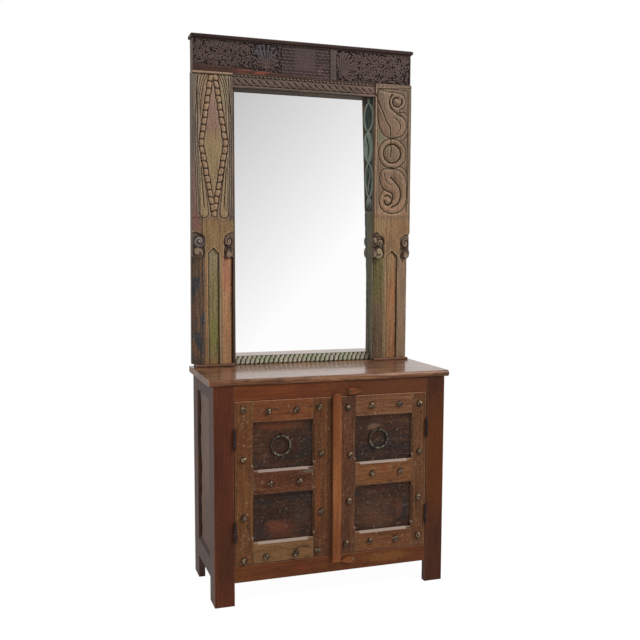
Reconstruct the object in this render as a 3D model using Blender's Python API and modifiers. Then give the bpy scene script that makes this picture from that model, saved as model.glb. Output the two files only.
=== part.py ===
"""Mirrored cabinet built from old carved wood.

A low cupboard with two panelled doors stands on four board legs. A tall mirror frame stands on its
tabletop: two carved posts, a carved frieze and cap, splayed jambs and a strip below the glass.

Frame: X to the cabinet's left and right (the doors face -Y), Z up, floor at z = 0, origin in the
middle of the footprint. Depths are counted from the front face of the front legs.
Units are metres.
"""

import math

import bmesh
import bpy
from mathutils import Matrix, Vector

# Clearances
GAP = 0.0003                  # between pieces that touch
PIN_PLAY = 0.0003             # round a pin or shank in its hole
ARRIS = 0.0015                # worn edge of a board

# Low cabinet
LEG_SPAN = 0.900              # front legs, outside to outside
CABINET_DEPTH = 0.400         # front face to the back of the back legs
TOP_HEIGHT = 0.830            # floor to the tabletop's surface
TOP_THICKNESS = 0.024
TOP_SIDE_OVERHANG = 0.015
TOP_NOSE = 0.009              # overhang in front
TOP_BACK_OVERHANG = 0.005
TOP_SEAM_DEPTH = 0.195        # seam between the tabletop's planks
LEG_WIDTH = 0.0735
LEG_THICKNESS = 0.025
SIDE_THICKNESS = 0.025        # boards of the two sides
SIDE_STILE_DEPTH = 0.060
BACK_LEG_DEPTH = 0.085
TOP_RAIL_HEIGHT = 0.055
BOTTOM_RAIL_CLEARANCE = 0.085  # floor to the front bottom rail
BOTTOM_RAIL_HEIGHT = 0.0635
SIDE_RAIL_CLEARANCE = 0.089
SIDE_BOTTOM_RAIL_HEIGHT = 0.081
SIDE_CHAMFER = 0.012          # on the side bottom rail's upper edge
SIDE_PANEL_THICKNESS = 0.0084
SIDE_PANEL_RECESS = 0.0105
SIDE_GROOVE_DEPTH = 0.008
BACK_RAIL_THICKNESS = 0.022
BACK_PANEL_THICKNESS = 0.008
FLOOR_THICKNESS = 0.018       # bottom board
SHELF_HEIGHT = 0.450
SHELF_THICKNESS = 0.016
SHELF_FRONT = 0.032           # behind the doors and their ring eyes
HOUSING_DEPTH = 0.006         # shelf let into the side stiles and back legs
CLEAT = 0.020                 # square strip that carries the bottom board
RAIL_TENON = 0.030
BACK_TENON = 0.015
TENON_THICKNESS = 0.009
TENON_SHOULDER = 0.012

# Broken back edge of the left side panel, depth lost at even steps from bottom to top
PANEL_BREAKS = (0.004, 0.022, 0.011, 0.017, 0.008, 0.026, 0.019, 0.031, 0.024, 0.014,
                0.009, 0.020, 0.012, 0.028, 0.016, 0.006)

# Doors
DOOR_THICKNESS = 0.028
DOOR_GAP = 0.002              # above, below and beside a door
MEETING_X = -0.00825          # middle of the gap between the doors
MEETING_GAP = 0.0025
LEFT_HINGE_STILE = 0.068
LEFT_MEETING_STILE = 0.070
RIGHT_HINGE_STILE = 0.0585
RIGHT_MEETING_STILE = 0.094
DOOR_TOP_RAIL = 0.0777
DOOR_BOTTOM_RAIL = 0.0778
DOOR_MID_RAIL = 0.0892
MID_RAIL_SHARE = 0.501        # mid rail's centre along the door's height
PANEL_RECESS = 0.012
PANEL_THICKNESS = 0.0094
PANEL_GROOVE = 0.010          # depth of the groove that holds a panel's edge
MID_TENON = 0.020
MID_TENON_THICKNESS = 0.006
DOOR_TENON = 0.034
CHAMFER = 0.008
CHAMFER_STOP = 0.012          # chamfers end this far from a corner
STRIP_WIDTH = 0.032
STRIP_PROUD = 0.015
STRIP_INSET = 0.0005          # from the right door's edge
STRIP_TAIL = 0.0257           # below the door
STRIP_HEAD = 0.0135           # above the door
STRIP_ROUNDING = 0.0105       # radius of its rounded front edges
STUD_DIAMETER = 0.0235
STUD_HEIGHT = 0.010
STUD_SEAT = 0.001             # a stud's rim bites this far into the wood

# Ironwork
BARREL_RADIUS = 0.0055
HINGE_PIN_RADIUS = 0.002
RIVET_RADIUS = 0.0032         # heads at the pin's ends
RIVET_FLAT = 0.0022           # radius of a head's flat top
HINGE_LENGTH = 0.072
HINGE_STANDOFF = 0.0062       # pin's axis in front of the doors' faces
HINGE_LEAF_WIDTH = 0.020
HINGE_LEAF_THICKNESS = 0.0018
LEAF_GAP = 0.0006             # between the two leaves of a closed hinge
HINGE_SHARES = (0.206, 0.774)  # hinge centres along a door's height
RING_DIAMETER = 0.078         # outside
RING_WIRE = 0.0035            # radius
RING_REST_GAP = 0.001         # ring to panel
EYE_WIRE = 0.002              # radius
EYE_BORE = 0.0042             # inner radius of the eye's bend
EYE_SHARE = 0.7761            # ring eyes along a door's height
LEFT_EYE_SHARE = 0.4648       # and across its panel, from the hinge side
RIGHT_EYE_SHARE = 0.5852
EYE_CLINCH = 0.0036           # eye's legs stand out behind the panel

# Turn-buttons
BUTTON_THICKNESS = 0.009
BUTTON_WIDTH = 0.022
BUTTON_ROOT = 0.008           # pivot to the blunt end
BUTTON_SWELL = 0.62           # under 1 moves a button's widest place towards its root
BUTTON_FULLNESS = 0.75        # under 1 makes its sides rounder
TOP_BUTTON_REACH = 0.046      # pivot to the tip
BOTTOM_BUTTON_REACH = 0.047
TOP_BUTTON_X = 0.0600
TOP_BUTTON_RISE = 0.0165      # pivot above the top rail's lower edge
BOTTOM_BUTTON_X = 0.0760
BOTTOM_BUTTON_DROP = 0.0225   # pivot below the bottom rail's upper edge
SCREW_RADIUS = 0.002
SCREW_HEAD_RADIUS = 0.0045
SCREW_HEAD_FLAT = 0.0027      # radius of the head's flat top
SCREW_HEAD_HEIGHT = 0.0022
SCREW_BITE = 0.014            # shank length in the rail

# Mirror frame
FRAME_WIDTH = 0.896
FRAME_THICKNESS = 0.058
POST_WIDTH = 0.153
POST_HEIGHT = 1.130
FRIEZE_HEIGHT = 0.121
CAP_THICKNESS = 0.014
CAP_OVERHANG = 0.008
CAP_ARRIS = 0.003
SHAFT_INSET = 0.010           # shaft narrower than the post's head, on its outer side
HEAD_FROM = 0.430             # head block's underside above the tabletop
BRACKET_LAP = 0.006           # shaft runs this far into the head block
SHAFT_FACET = 0.072           # width of the shaft's front face
SHAFT_CANT = 0.028            # depth of the canted corners
NICHE_WIDTH = 0.045           # pointed recess down the shaft
NICHE_TOP = 0.464             # apex above the tabletop
NICHE_RISE = 0.023
NICHE_DEPTH = 0.005
NECK_LEDGE = 0.006            # moulding under the frieze
NECK_LEDGE_PROUD = 0.004
NECK_LEDGE_INSET = 0.008      # its ends inside the post's edges
BRACKET_PROUD = 0.004
UPPER_ROLL = (0.058, 0.4895, 0.0185)  # across, above the tabletop, radius
LOWER_ROLL = (0.0665, 0.4485, 0.0200)
ROLL_FACE = ((0, 0), (0.28, 0), (0.40, 0.0024), (0.68, 0.0024), (0.80, 0), (1, 0.0016))  # share, depth
RELIEF = 0.004                # height of the posts' carving
FOOT_INSET = 0.001            # foot board's edges inside the post's
JAMB_SETBACK = 0.015          # behind the posts' fronts
JAMB_EDGE = 0.003
LEFT_JAMB_WIDTH = 0.008
SPLAY_TOP = 0.0404            # right jamb's reach at the top
SPLAY_BOTTOM = 0.0032
GLASS_SETBACK = 0.048         # behind the posts' fronts
GLASS_THICKNESS = 0.0035
BACKBOARD_THICKNESS = 0.005
LINTEL_HEIGHT = 0.055
LINTEL_SETBACK = 0.004
LINTEL_BEAD = 0.005           # radius of the bead on its lower edge
LINTEL_HOLLOW = 0.004         # depth of the groove above the bead
SILL_HEIGHT = 0.033           # carved strip below the glass
SILL_DEPTH = 0.0125
SILL_LEAN = 0.005             # its face leans back this far at the top
SILL_FACE = ((0, 0.0040), (0.0020, 0.0083), (0.0025, 0.0198))  # (leaning back, height) below that
BASE_CLEAT_HEIGHT = 0.010
BASE_CLEAT_DEPTH = 0.012
STUB_WIDTH = 0.070            # stub tenons at a post's foot and head
STUB_THICKNESS = 0.022
STUB_LENGTH = 0.018

# Carving of the left post, heights above the tabletop
CHAIN_TOP = 1.107
CHAIN_WIDEST = 0.860
CHAIN_BOTTOM = 0.590
CHAIN_TOP_SPREAD = 0.0095
CHAIN_SPREAD = 0.0480
CHAIN_BLOCKS = 20
BLOCK_WIDTH = 0.0185
BLOCK_HEIGHT = 0.0225
BLOCK_TAPER = 0.70
TONGUE_PROUD = 0.0028
TONGUE_RADIUS = 0.0145
TONGUE_X = 0.0390
TONGUE_HEIGHT = 0.603         # centre of the round end
TONGUE_TIP = 0.800

# Carving of the right post, heights above the tabletop
BAND_RADIUS = 0.0050
BAND_PROUD = 0.0030
BAND_MEETING = 0.0150         # a scroll's end stops this far from the ring's middle line
RING_CARVING = (-0.0025, 0.850, 0.0470)  # across, height, radius
UPPER_SCROLL = (0.0155, 1.059)
LOWER_SCROLL = (-0.0180, 0.664)
SCROLL_EYE = 0.012            # radius where a scroll starts
SCROLL_REACH = 0.0480         # radius of its last turn
SCROLL_TURNS = 1.6

# Worked out
FACE_Y = -(CABINET_DEPTH + TOP_BACK_OVERHANG - STRIP_PROUD) / 2
TOP_UNDERSIDE = TOP_HEIGHT - TOP_THICKNESS
HALF_SPAN = LEG_SPAN / 2
LEG_INNER_X = HALF_SPAN - LEG_WIDTH
SIDE_INNER_X = HALF_SPAN - SIDE_THICKNESS
TOP_RAIL_FROM = TOP_UNDERSIDE - TOP_RAIL_HEIGHT
BOTTOM_RAIL_TOP = BOTTOM_RAIL_CLEARANCE + BOTTOM_RAIL_HEIGHT
SIDE_RAIL_TOP = SIDE_RAIL_CLEARANCE + SIDE_BOTTOM_RAIL_HEIGHT
STILE_BACK = LEG_THICKNESS + SIDE_STILE_DEPTH
BACK_LEG_FRONT = CABINET_DEPTH - BACK_LEG_DEPTH
BACK_RAIL_FRONT = CABINET_DEPTH - BACK_RAIL_THICKNESS
BACK_PANEL_FRONT = BACK_RAIL_FRONT - GAP - BACK_PANEL_THICKNESS
DOOR_BOTTOM = BOTTOM_RAIL_TOP + DOOR_GAP
DOOR_TOP = TOP_RAIL_FROM - DOOR_GAP
DOOR_HEIGHT = DOOR_TOP - DOOR_BOTTOM
HINGE_X = LEG_INNER_X - DOOR_GAP / 2
DOOR_OUTER = LEG_INNER_X - DOOR_GAP
LEFT_DOOR_EDGE = MEETING_X - MEETING_GAP / 2
RIGHT_DOOR_EDGE = MEETING_X + MEETING_GAP / 2
MID_RAIL_CENTRE = DOOR_BOTTOM + DOOR_HEIGHT * MID_RAIL_SHARE
LEFT_PANEL = (-DOOR_OUTER + LEFT_HINGE_STILE, LEFT_DOOR_EDGE - LEFT_MEETING_STILE)
RIGHT_PANEL = (DOOR_OUTER - RIGHT_HINGE_STILE, RIGHT_DOOR_EDGE + RIGHT_MEETING_STILE)
LEFT_EYE_X = LEFT_PANEL[0] + (LEFT_PANEL[1] - LEFT_PANEL[0]) * LEFT_EYE_SHARE
RIGHT_EYE_X = RIGHT_PANEL[0] + (RIGHT_PANEL[1] - RIGHT_PANEL[0]) * RIGHT_EYE_SHARE
EYE_HEIGHT = DOOR_BOTTOM + DOOR_HEIGHT * EYE_SHARE
TOP_BUTTON_HEIGHT = TOP_RAIL_FROM + TOP_BUTTON_RISE
BOTTOM_BUTTON_HEIGHT = BOTTOM_RAIL_TOP - BOTTOM_BUTTON_DROP
FRAME_BACK = CABINET_DEPTH + TOP_BACK_OVERHANG
FRAME_FRONT = FRAME_BACK - FRAME_THICKNESS
POST_X = (FRAME_WIDTH - POST_WIDTH) / 2
POST_TOP = TOP_HEIGHT + POST_HEIGHT
FRIEZE_TOP = POST_TOP + FRIEZE_HEIGHT
BETWEEN_POSTS = FRAME_WIDTH / 2 - POST_WIDTH
GLASS_FRONT = FRAME_FRONT + GLASS_SETBACK

PARTS_COLLECTION = "Mirrored cabinet"
CUTTERS_COLLECTION = "Cutters"
ROUND_ANGLE = math.radians(40)

# Colours as red, green, blue, then roughness and metallic value
FINISHES = {
    "post_wood": ((0.25, 0.14, 0.07), 0.60, 0.0),
    "frieze_wood": ((0.09, 0.06, 0.05), 0.65, 0.0),
    "green_wood": ((0.10, 0.10, 0.06), 0.70, 0.0),
    "top_wood": ((0.20, 0.11, 0.07), 0.30, 0.0),
    "frame_wood": ((0.09, 0.035, 0.02), 0.45, 0.0),
    "side_wood": ((0.12, 0.09, 0.08), 0.60, 0.0),
    "door_wood": ((0.15, 0.07, 0.035), 0.50, 0.0),
    "panel_wood": ((0.11, 0.07, 0.05), 0.60, 0.0),
    "strip_wood": ((0.25, 0.09, 0.03), 0.40, 0.0),
    "inner_wood": ((0.16, 0.10, 0.06), 0.70, 0.0),
    "iron": ((0.05, 0.045, 0.04), 0.45, 0.9),
    "mirror_silver": ((0.90, 0.90, 0.90), 0.02, 1.0),
}


def clear_scene():
    for old in list(bpy.data.objects):
        bpy.data.objects.remove(old, do_unlink=True)


def collection(name):
    made = bpy.data.collections.get(name)
    if made is None:
        made = bpy.data.collections.new(name)
        bpy.context.scene.collection.children.link(made)
    return made


def finish(name):
    """Return the Principled material of one kind of surface."""
    material = bpy.data.materials.get(name)
    if material is None:
        colour, roughness, metallic = FINISHES[name]
        material = bpy.data.materials.new(name)
        material.use_nodes = True
        shader = material.node_tree.nodes["Principled BSDF"]
        shader.inputs["Base Color"].default_value = (*colour, 1.0)
        shader.inputs["Roughness"].default_value = roughness
        shader.inputs["Metallic"].default_value = metallic
    return material


def place(name, mesh, location, surface):
    """Link a mesh as a part when it has a surface, and as a cutter when it has none."""
    made = bpy.data.objects.new(name, mesh)
    made.location = location
    if surface is None:
        collection(CUTTERS_COLLECTION).objects.link(made)
        made.hide_render = True
        made.display_type = 'WIRE'
    else:
        mesh.materials.clear()
        mesh.materials.append(finish(surface))
        collection(PARTS_COLLECTION).objects.link(made)
    return made


def centred_box_mesh(name, size):
    mesh = bpy.data.meshes.new(name)
    form = bmesh.new()
    bmesh.ops.create_cube(form, size=1.0, matrix=Matrix.Diagonal((*size, 1.0)))
    form.to_mesh(mesh)
    form.free()
    return mesh


def board(name, across, depth, height, surface, arris=ARRIS):
    """A board given by its limits across (x), in depth behind the front face and in height."""
    limits = [across, [FACE_Y + value for value in depth], height]
    size = [high - low for low, high in limits]
    middle = [(high + low) / 2 for low, high in limits]
    made = place(name, centred_box_mesh(name, size), middle, surface)
    if surface is not None and arris > 0:
        bevel = made.modifiers.new("Arris", 'BEVEL')
        bevel.width = arris
        bevel.segments = 1
    return made


def pocket(name, across, depth, height):
    """A box-shaped cutter."""
    return board(name, across, depth, height, None)


def boolean(target, other, operation):
    """Cut or join with an object that follows its target when the target moves."""
    step = target.modifiers.new(other.name, 'BOOLEAN')
    step.operation = operation
    step.solver = 'EXACT'
    step.object = other
    attach(other, target)
    return target


def cut(target, *cutters):
    for cutter in cutters:
        boolean(target, cutter, 'DIFFERENCE')
    return target


def join(target, *additions):
    for addition in additions:
        boolean(target, addition, 'UNION')
    return target


def attach(child, parent):
    """Parent an object and keep it where it is; parents here have no rotation."""
    origin = parent.location
    if parent.parent is not None:
        origin = parent.matrix_parent_inverse.to_translation() + parent.location
        origin = origin + parent.parent.location
    child.parent = parent
    child.matrix_parent_inverse = Matrix.Translation(-origin)


def evaluated_mesh(source, name):
    """The mesh that an object has after its modifiers, or that a curve makes."""
    graph = bpy.context.evaluated_depsgraph_get()
    graph.update()
    mesh = bpy.data.meshes.new_from_object(source.evaluated_get(graph))
    mesh.name = name
    return mesh


def clean(mesh):
    """Weld a mesh's seams and turn its faces outwards."""
    form = bmesh.new()
    form.from_mesh(mesh)
    bmesh.ops.remove_doubles(form, verts=form.verts, dist=0.00001)
    bmesh.ops.recalc_face_normals(form, faces=form.faces)
    form.to_mesh(mesh)
    form.free()


def prism(name, outline, direction, start, end, surface, location=(0.0, 0.0, 0.0)):
    """Extrude a flat outline along X, Y or Z between two coordinates.

    The outline's points are (y, z) for X, (x, z) for Y and (x, y) for Z.
    """
    drawing = bpy.data.curves.new(name, 'CURVE')
    drawing.dimensions = '2D'
    drawing.fill_mode = 'BOTH'
    drawing.extrude = (end - start) / 2
    spline = drawing.splines.new('POLY')
    spline.points.add(len(outline) - 1)
    for point, (first, second) in zip(spline.points, outline):
        point.co = (first, second, 0.0, 1.0)
    spline.use_cyclic_u = True
    drawn = bpy.data.objects.new(name, drawing)
    collection(CUTTERS_COLLECTION).objects.link(drawn)
    mesh = evaluated_mesh(drawn, name)
    bpy.data.objects.remove(drawn, do_unlink=True)
    middle = (start + end) / 2
    turn = {
        'X': Matrix(((0, 0, 1, middle), (1, 0, 0, 0), (0, 1, 0, 0), (0, 0, 0, 1))),
        'Y': Matrix(((1, 0, 0, 0), (0, 0, -1, middle), (0, 1, 0, 0), (0, 0, 0, 1))),
        'Z': Matrix(((1, 0, 0, 0), (0, 1, 0, 0), (0, 0, 1, middle), (0, 0, 0, 1))),
    }[direction]
    mesh.transform(Matrix.Translation(-Vector(location)) @ turn)
    clean(mesh)
    return place(name, mesh, location, surface)


def turned(name, profile, location, surface, steps=16, axis='Z', closed=False):
    """Turn a profile of (radius, height) points about an axis through the location."""
    mesh = bpy.data.meshes.new(name)
    edges = [(index, index + 1) for index in range(len(profile) - 1)]
    if closed:
        edges.append((len(profile) - 1, 0))
    mesh.from_pydata([(radius, 0.0, height) for radius, height in profile], edges, [])
    lathe = bpy.data.objects.new(name, mesh)
    collection(CUTTERS_COLLECTION).objects.link(lathe)
    screw = lathe.modifiers.new("Turn", 'SCREW')
    screw.steps = steps
    screw.render_steps = steps
    screw.use_merge_vertices = True
    screw.merge_threshold = 0.00001
    shape = evaluated_mesh(lathe, name)
    bpy.data.objects.remove(lathe, do_unlink=True)
    if axis == 'Y':
        shape.transform(Matrix.Rotation(math.radians(90), 4, 'X'))
    clean(shape)
    shape.shade_smooth()
    shape.set_sharp_from_angle(angle=ROUND_ANGLE)
    return place(name, shape, location, surface)


def wire(name, points, radius, surface, cyclic=False, resolution=1):
    """A round wire along a list of points, with closed ends."""
    drawing = bpy.data.curves.new(name, 'CURVE')
    drawing.dimensions = '3D'
    drawing.bevel_depth = radius
    drawing.bevel_resolution = resolution
    drawing.use_fill_caps = True
    spline = drawing.splines.new('POLY')
    spline.points.add(len(points) - 1)
    for point, position in zip(spline.points, points):
        point.co = (*position, 1.0)
    spline.use_cyclic_u = cyclic
    drawn = bpy.data.objects.new(name, drawing)
    collection(CUTTERS_COLLECTION).objects.link(drawn)
    mesh = evaluated_mesh(drawn, name)
    bpy.data.objects.remove(drawn, do_unlink=True)
    clean(mesh)
    mesh.shade_smooth()
    mesh.set_sharp_from_angle(angle=ROUND_ANGLE)
    return place(name, mesh, (0.0, 0.0, 0.0), surface)


def bore(name, location, radius, length, axis):
    """A round cutter from its location along +Z, or along +Y into the wood."""
    made = turned(name, [(0, 0), (radius, 0), (radius, length), (0, length)],
                  location, None, steps=12, axis='Z')
    if axis == 'Y':
        made.data.transform(Matrix.Rotation(math.radians(-90), 4, 'X'))
    return made


def copies(name, source, matrices, surface, location=(0.0, 0.0, 0.0)):
    """A finished piece set in place once, or several times as one cutter."""
    mesh = evaluated_mesh(source, name)
    mesh.transform(Matrix.Translation(source.location))
    form = bmesh.new()
    for matrix in matrices:
        copy = mesh.copy()
        copy.transform(Matrix.Translation(-Vector(location)) @ matrix)
        form.from_mesh(copy)
        bpy.data.meshes.remove(copy)
    joined = bpy.data.meshes.new(name)
    form.to_mesh(joined)
    form.free()
    joined.set_sharp_from_angle(angle=ROUND_ANGLE)
    bpy.data.meshes.remove(mesh)
    return place(name, joined, location, surface)


def remove(made):
    """Remove a pattern piece and the cutters that shaped it."""
    for child in list(made.children):
        bpy.data.objects.remove(child, do_unlink=True)
    bpy.data.objects.remove(made, do_unlink=True)


def arc(centre, radius, start, end, steps):
    """Points of an arc, angles in degrees."""
    points = []
    for index in range(steps + 1):
        angle = math.radians(start + (end - start) * index / steps)
        points.append((centre[0] + radius * math.cos(angle), centre[1] + radius * math.sin(angle)))
    return points


def build_tabletop():
    """Two planks; the front one has a rounded nosing."""
    half = HALF_SPAN + TOP_SIDE_OVERHANG
    low = TOP_UNDERSIDE
    radius = TOP_THICKNESS / 2
    seam = FACE_Y + TOP_SEAM_DEPTH
    nose = arc((FACE_Y - TOP_NOSE + radius, low + radius), radius, 270, 90, 8)
    outline = [(seam, low), *nose, (seam, TOP_HEIGHT)]
    prism("tabletop_front_plank", outline, 'X', -half, half, "top_wood",
          (0.0, FACE_Y, TOP_HEIGHT))
    back = board("tabletop_back_plank", (-half, half), (TOP_SEAM_DEPTH + GAP, FRAME_BACK),
                 (low, TOP_HEIGHT), "top_wood")
    for side in (-1, 1):
        cut(back, stub(side, TOP_HEIGHT - STUB_LENGTH - GAP, TOP_HEIGHT + ARRIS, GAP))


def stub(side, low, high, play):
    """A post's stub tenon, or the socket for it when there is play."""
    half = STUB_WIDTH / 2 + play
    depth = FRAME_FRONT + (FRAME_THICKNESS - STUB_THICKNESS) / 2
    return pocket("post_stub", (side * POST_X - half, side * POST_X + half),
                  (depth - play, depth + STUB_THICKNESS + play), (low, high))


def build_front_frame():
    """Front legs with mortises, and the two rails that are tenoned into them."""
    tenon_depth = (LEG_THICKNESS - TENON_THICKNESS) / 2
    rails = {
        "front_top_rail": (TOP_RAIL_FROM, TOP_UNDERSIDE - GAP),
        "front_bottom_rail": (BOTTOM_RAIL_CLEARANCE, BOTTOM_RAIL_TOP),
    }
    legs = {}
    for side, name in ((-1, "front_left_leg"), (1, "front_right_leg")):
        across = sorted((side * LEG_INNER_X, side * HALF_SPAN))
        legs[side] = board(name, across, (0, LEG_THICKNESS), (0, TOP_UNDERSIDE - GAP),
                           "frame_wood")
    for name, (low, high) in rails.items():
        end = LEG_INNER_X - GAP
        rail = board(name, (-end, end), (GAP, LEG_THICKNESS), (low, high), "frame_wood")
        reach = LEG_INNER_X + RAIL_TENON
        tongue = board(name + "_tenons", (-reach, reach),
                       (tenon_depth, tenon_depth + TENON_THICKNESS),
                       (low + TENON_SHOULDER, high - TENON_SHOULDER), None)
        join(rail, tongue)
        for side, leg in legs.items():
            across = sorted((side * (LEG_INNER_X - ARRIS), side * (reach + GAP)))
            mortise = pocket(name + "_mortise", across,
                             (tenon_depth - GAP, tenon_depth + TENON_THICKNESS + GAP),
                             (low + TENON_SHOULDER - GAP, high - TENON_SHOULDER + GAP))
            cut(leg, mortise)
        if name == "front_top_rail":
            cut(rail, screw_hole(TOP_BUTTON_X, TOP_BUTTON_HEIGHT))
        else:
            cut(rail, screw_hole(BOTTOM_BUTTON_X, BOTTOM_BUTTON_HEIGHT))
    for side, leg in legs.items():
        for share in HINGE_SHARES:
            cut(leg, hinge_pocket(side, share, 1))


def screw_hole(x, height):
    return bore("screw_hole", (x, FACE_Y - ARRIS, height), SCREW_RADIUS + PIN_PLAY,
                SCREW_BITE + ARRIS + 2 * GAP, 'Y')


def build_sides():
    """Side stiles, back legs, side rails and the grooved-in side panels."""
    outer = HALF_SPAN
    inner = SIDE_INNER_X
    groove_x = (outer - SIDE_PANEL_RECESS - SIDE_PANEL_THICKNESS - GAP,
                outer - SIDE_PANEL_RECESS + GAP)
    low_rail = (SIDE_RAIL_CLEARANCE, SIDE_RAIL_TOP)
    top_rail = (TOP_RAIL_FROM, TOP_UNDERSIDE - GAP)
    for side, word in ((-1, "left"), (1, "right")):
        across = sorted((side * inner, side * outer))
        groove = sorted((side * groove_x[0], side * groove_x[1]))
        tenon = sorted((side * (groove_x[0] + GAP), side * (groove_x[1] - GAP)))
        full = (0, TOP_UNDERSIDE - GAP)
        stile = board(word + "_side_stile", across, (LEG_THICKNESS + GAP, STILE_BACK), full,
                      "side_wood")
        leg = board("back_" + word + "_leg", across, (BACK_LEG_FRONT, CABINET_DEPTH), full,
                    "side_wood")
        panel_height = (SIDE_RAIL_TOP - SIDE_GROOVE_DEPTH, TOP_RAIL_FROM + SIDE_GROOVE_DEPTH)
        cut(stile, pocket("panel_groove", groove,
                          (STILE_BACK - SIDE_GROOVE_DEPTH, STILE_BACK + ARRIS), panel_height))
        cut(leg, pocket("panel_groove", groove,
                        (BACK_LEG_FRONT - ARRIS, BACK_LEG_FRONT + SIDE_GROOVE_DEPTH),
                        panel_height))
        for kind, (low, high) in (("top", top_rail), ("bottom", low_rail)):
            name = word + "_side_" + kind + "_rail"
            rail = board(name, across, (STILE_BACK + GAP, BACK_LEG_FRONT - GAP), (low, high),
                         "side_wood")
            groove_low = low - ARRIS if kind == "top" else high - SIDE_GROOVE_DEPTH
            groove_high = low + SIDE_GROOVE_DEPTH if kind == "top" else high + SIDE_CHAMFER
            tongue_low = low + TENON_SHOULDER
            tongue_high = high - TENON_SHOULDER
            reach = (STILE_BACK - RAIL_TENON, BACK_LEG_FRONT + RAIL_TENON)
            if kind == "bottom":
                join_tenon(rail, name, tenon, reach, (tongue_low, tongue_high))
                cut(rail, side_chamfer(side))
                cut(rail, pocket("rail_groove", groove,
                                 (STILE_BACK - ARRIS, BACK_LEG_FRONT + ARRIS),
                                 (groove_low, groove_high)))
            else:
                cut(rail, pocket("rail_groove", groove,
                                 (STILE_BACK - ARRIS, BACK_LEG_FRONT + ARRIS),
                                 (groove_low, groove_high)))
                join_tenon(rail, name, tenon, reach, (tongue_low, tongue_high))
            socket = (tongue_low - GAP, tongue_high + GAP)
            cut(stile, pocket("rail_mortise", groove, (reach[0] - GAP, STILE_BACK + ARRIS), socket))
            cut(leg, pocket("rail_mortise", groove, (BACK_LEG_FRONT - ARRIS, reach[1] + GAP),
                            socket))
        build_side_panel(side, word, tenon)


def join_tenon(rail, name, across, depth, height):
    """Add the tenons at a rail's ends as one tongue that runs through the rail."""
    join(rail, board(name + "_tenons", across, depth, height, None))


def side_chamfer(side):
    """Cutter for the sloping upper edge of a side bottom rail."""
    outer = HALF_SPAN + ARRIS
    reach = SIDE_CHAMFER + ARRIS
    outline = [(side * outer, SIDE_RAIL_TOP + ARRIS), (side * (outer - reach - ARRIS),
               SIDE_RAIL_TOP + ARRIS), (side * outer, SIDE_RAIL_TOP - reach)]
    return prism("side_chamfer", outline, 'Y', FACE_Y + STILE_BACK, FACE_Y + BACK_LEG_FRONT, None)


def build_side_panel(side, word, across):
    """Boards of one side; the left one has lost wood along its back edge."""
    low = SIDE_RAIL_TOP - SIDE_GROOVE_DEPTH + GAP
    high = TOP_RAIL_FROM + SIDE_GROOVE_DEPTH - GAP
    front = FACE_Y + STILE_BACK - SIDE_GROOVE_DEPTH + GAP
    back = FACE_Y + BACK_LEG_FRONT + SIDE_GROOVE_DEPTH - GAP
    outline = [(front, high), (front, low)]
    if side > 0:
        outline += [(back, low), (back, high)]
    else:
        edge = FACE_Y + BACK_LEG_FRONT - GAP
        for index, loss in enumerate(PANEL_BREAKS):
            share = index / (len(PANEL_BREAKS) - 1)
            outline.append((edge - loss, low + (high - low) * share))
    prism(word + "_side_panel", outline, 'X', across[0], across[1], "side_wood",
          (across[0], front, low))


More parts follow.
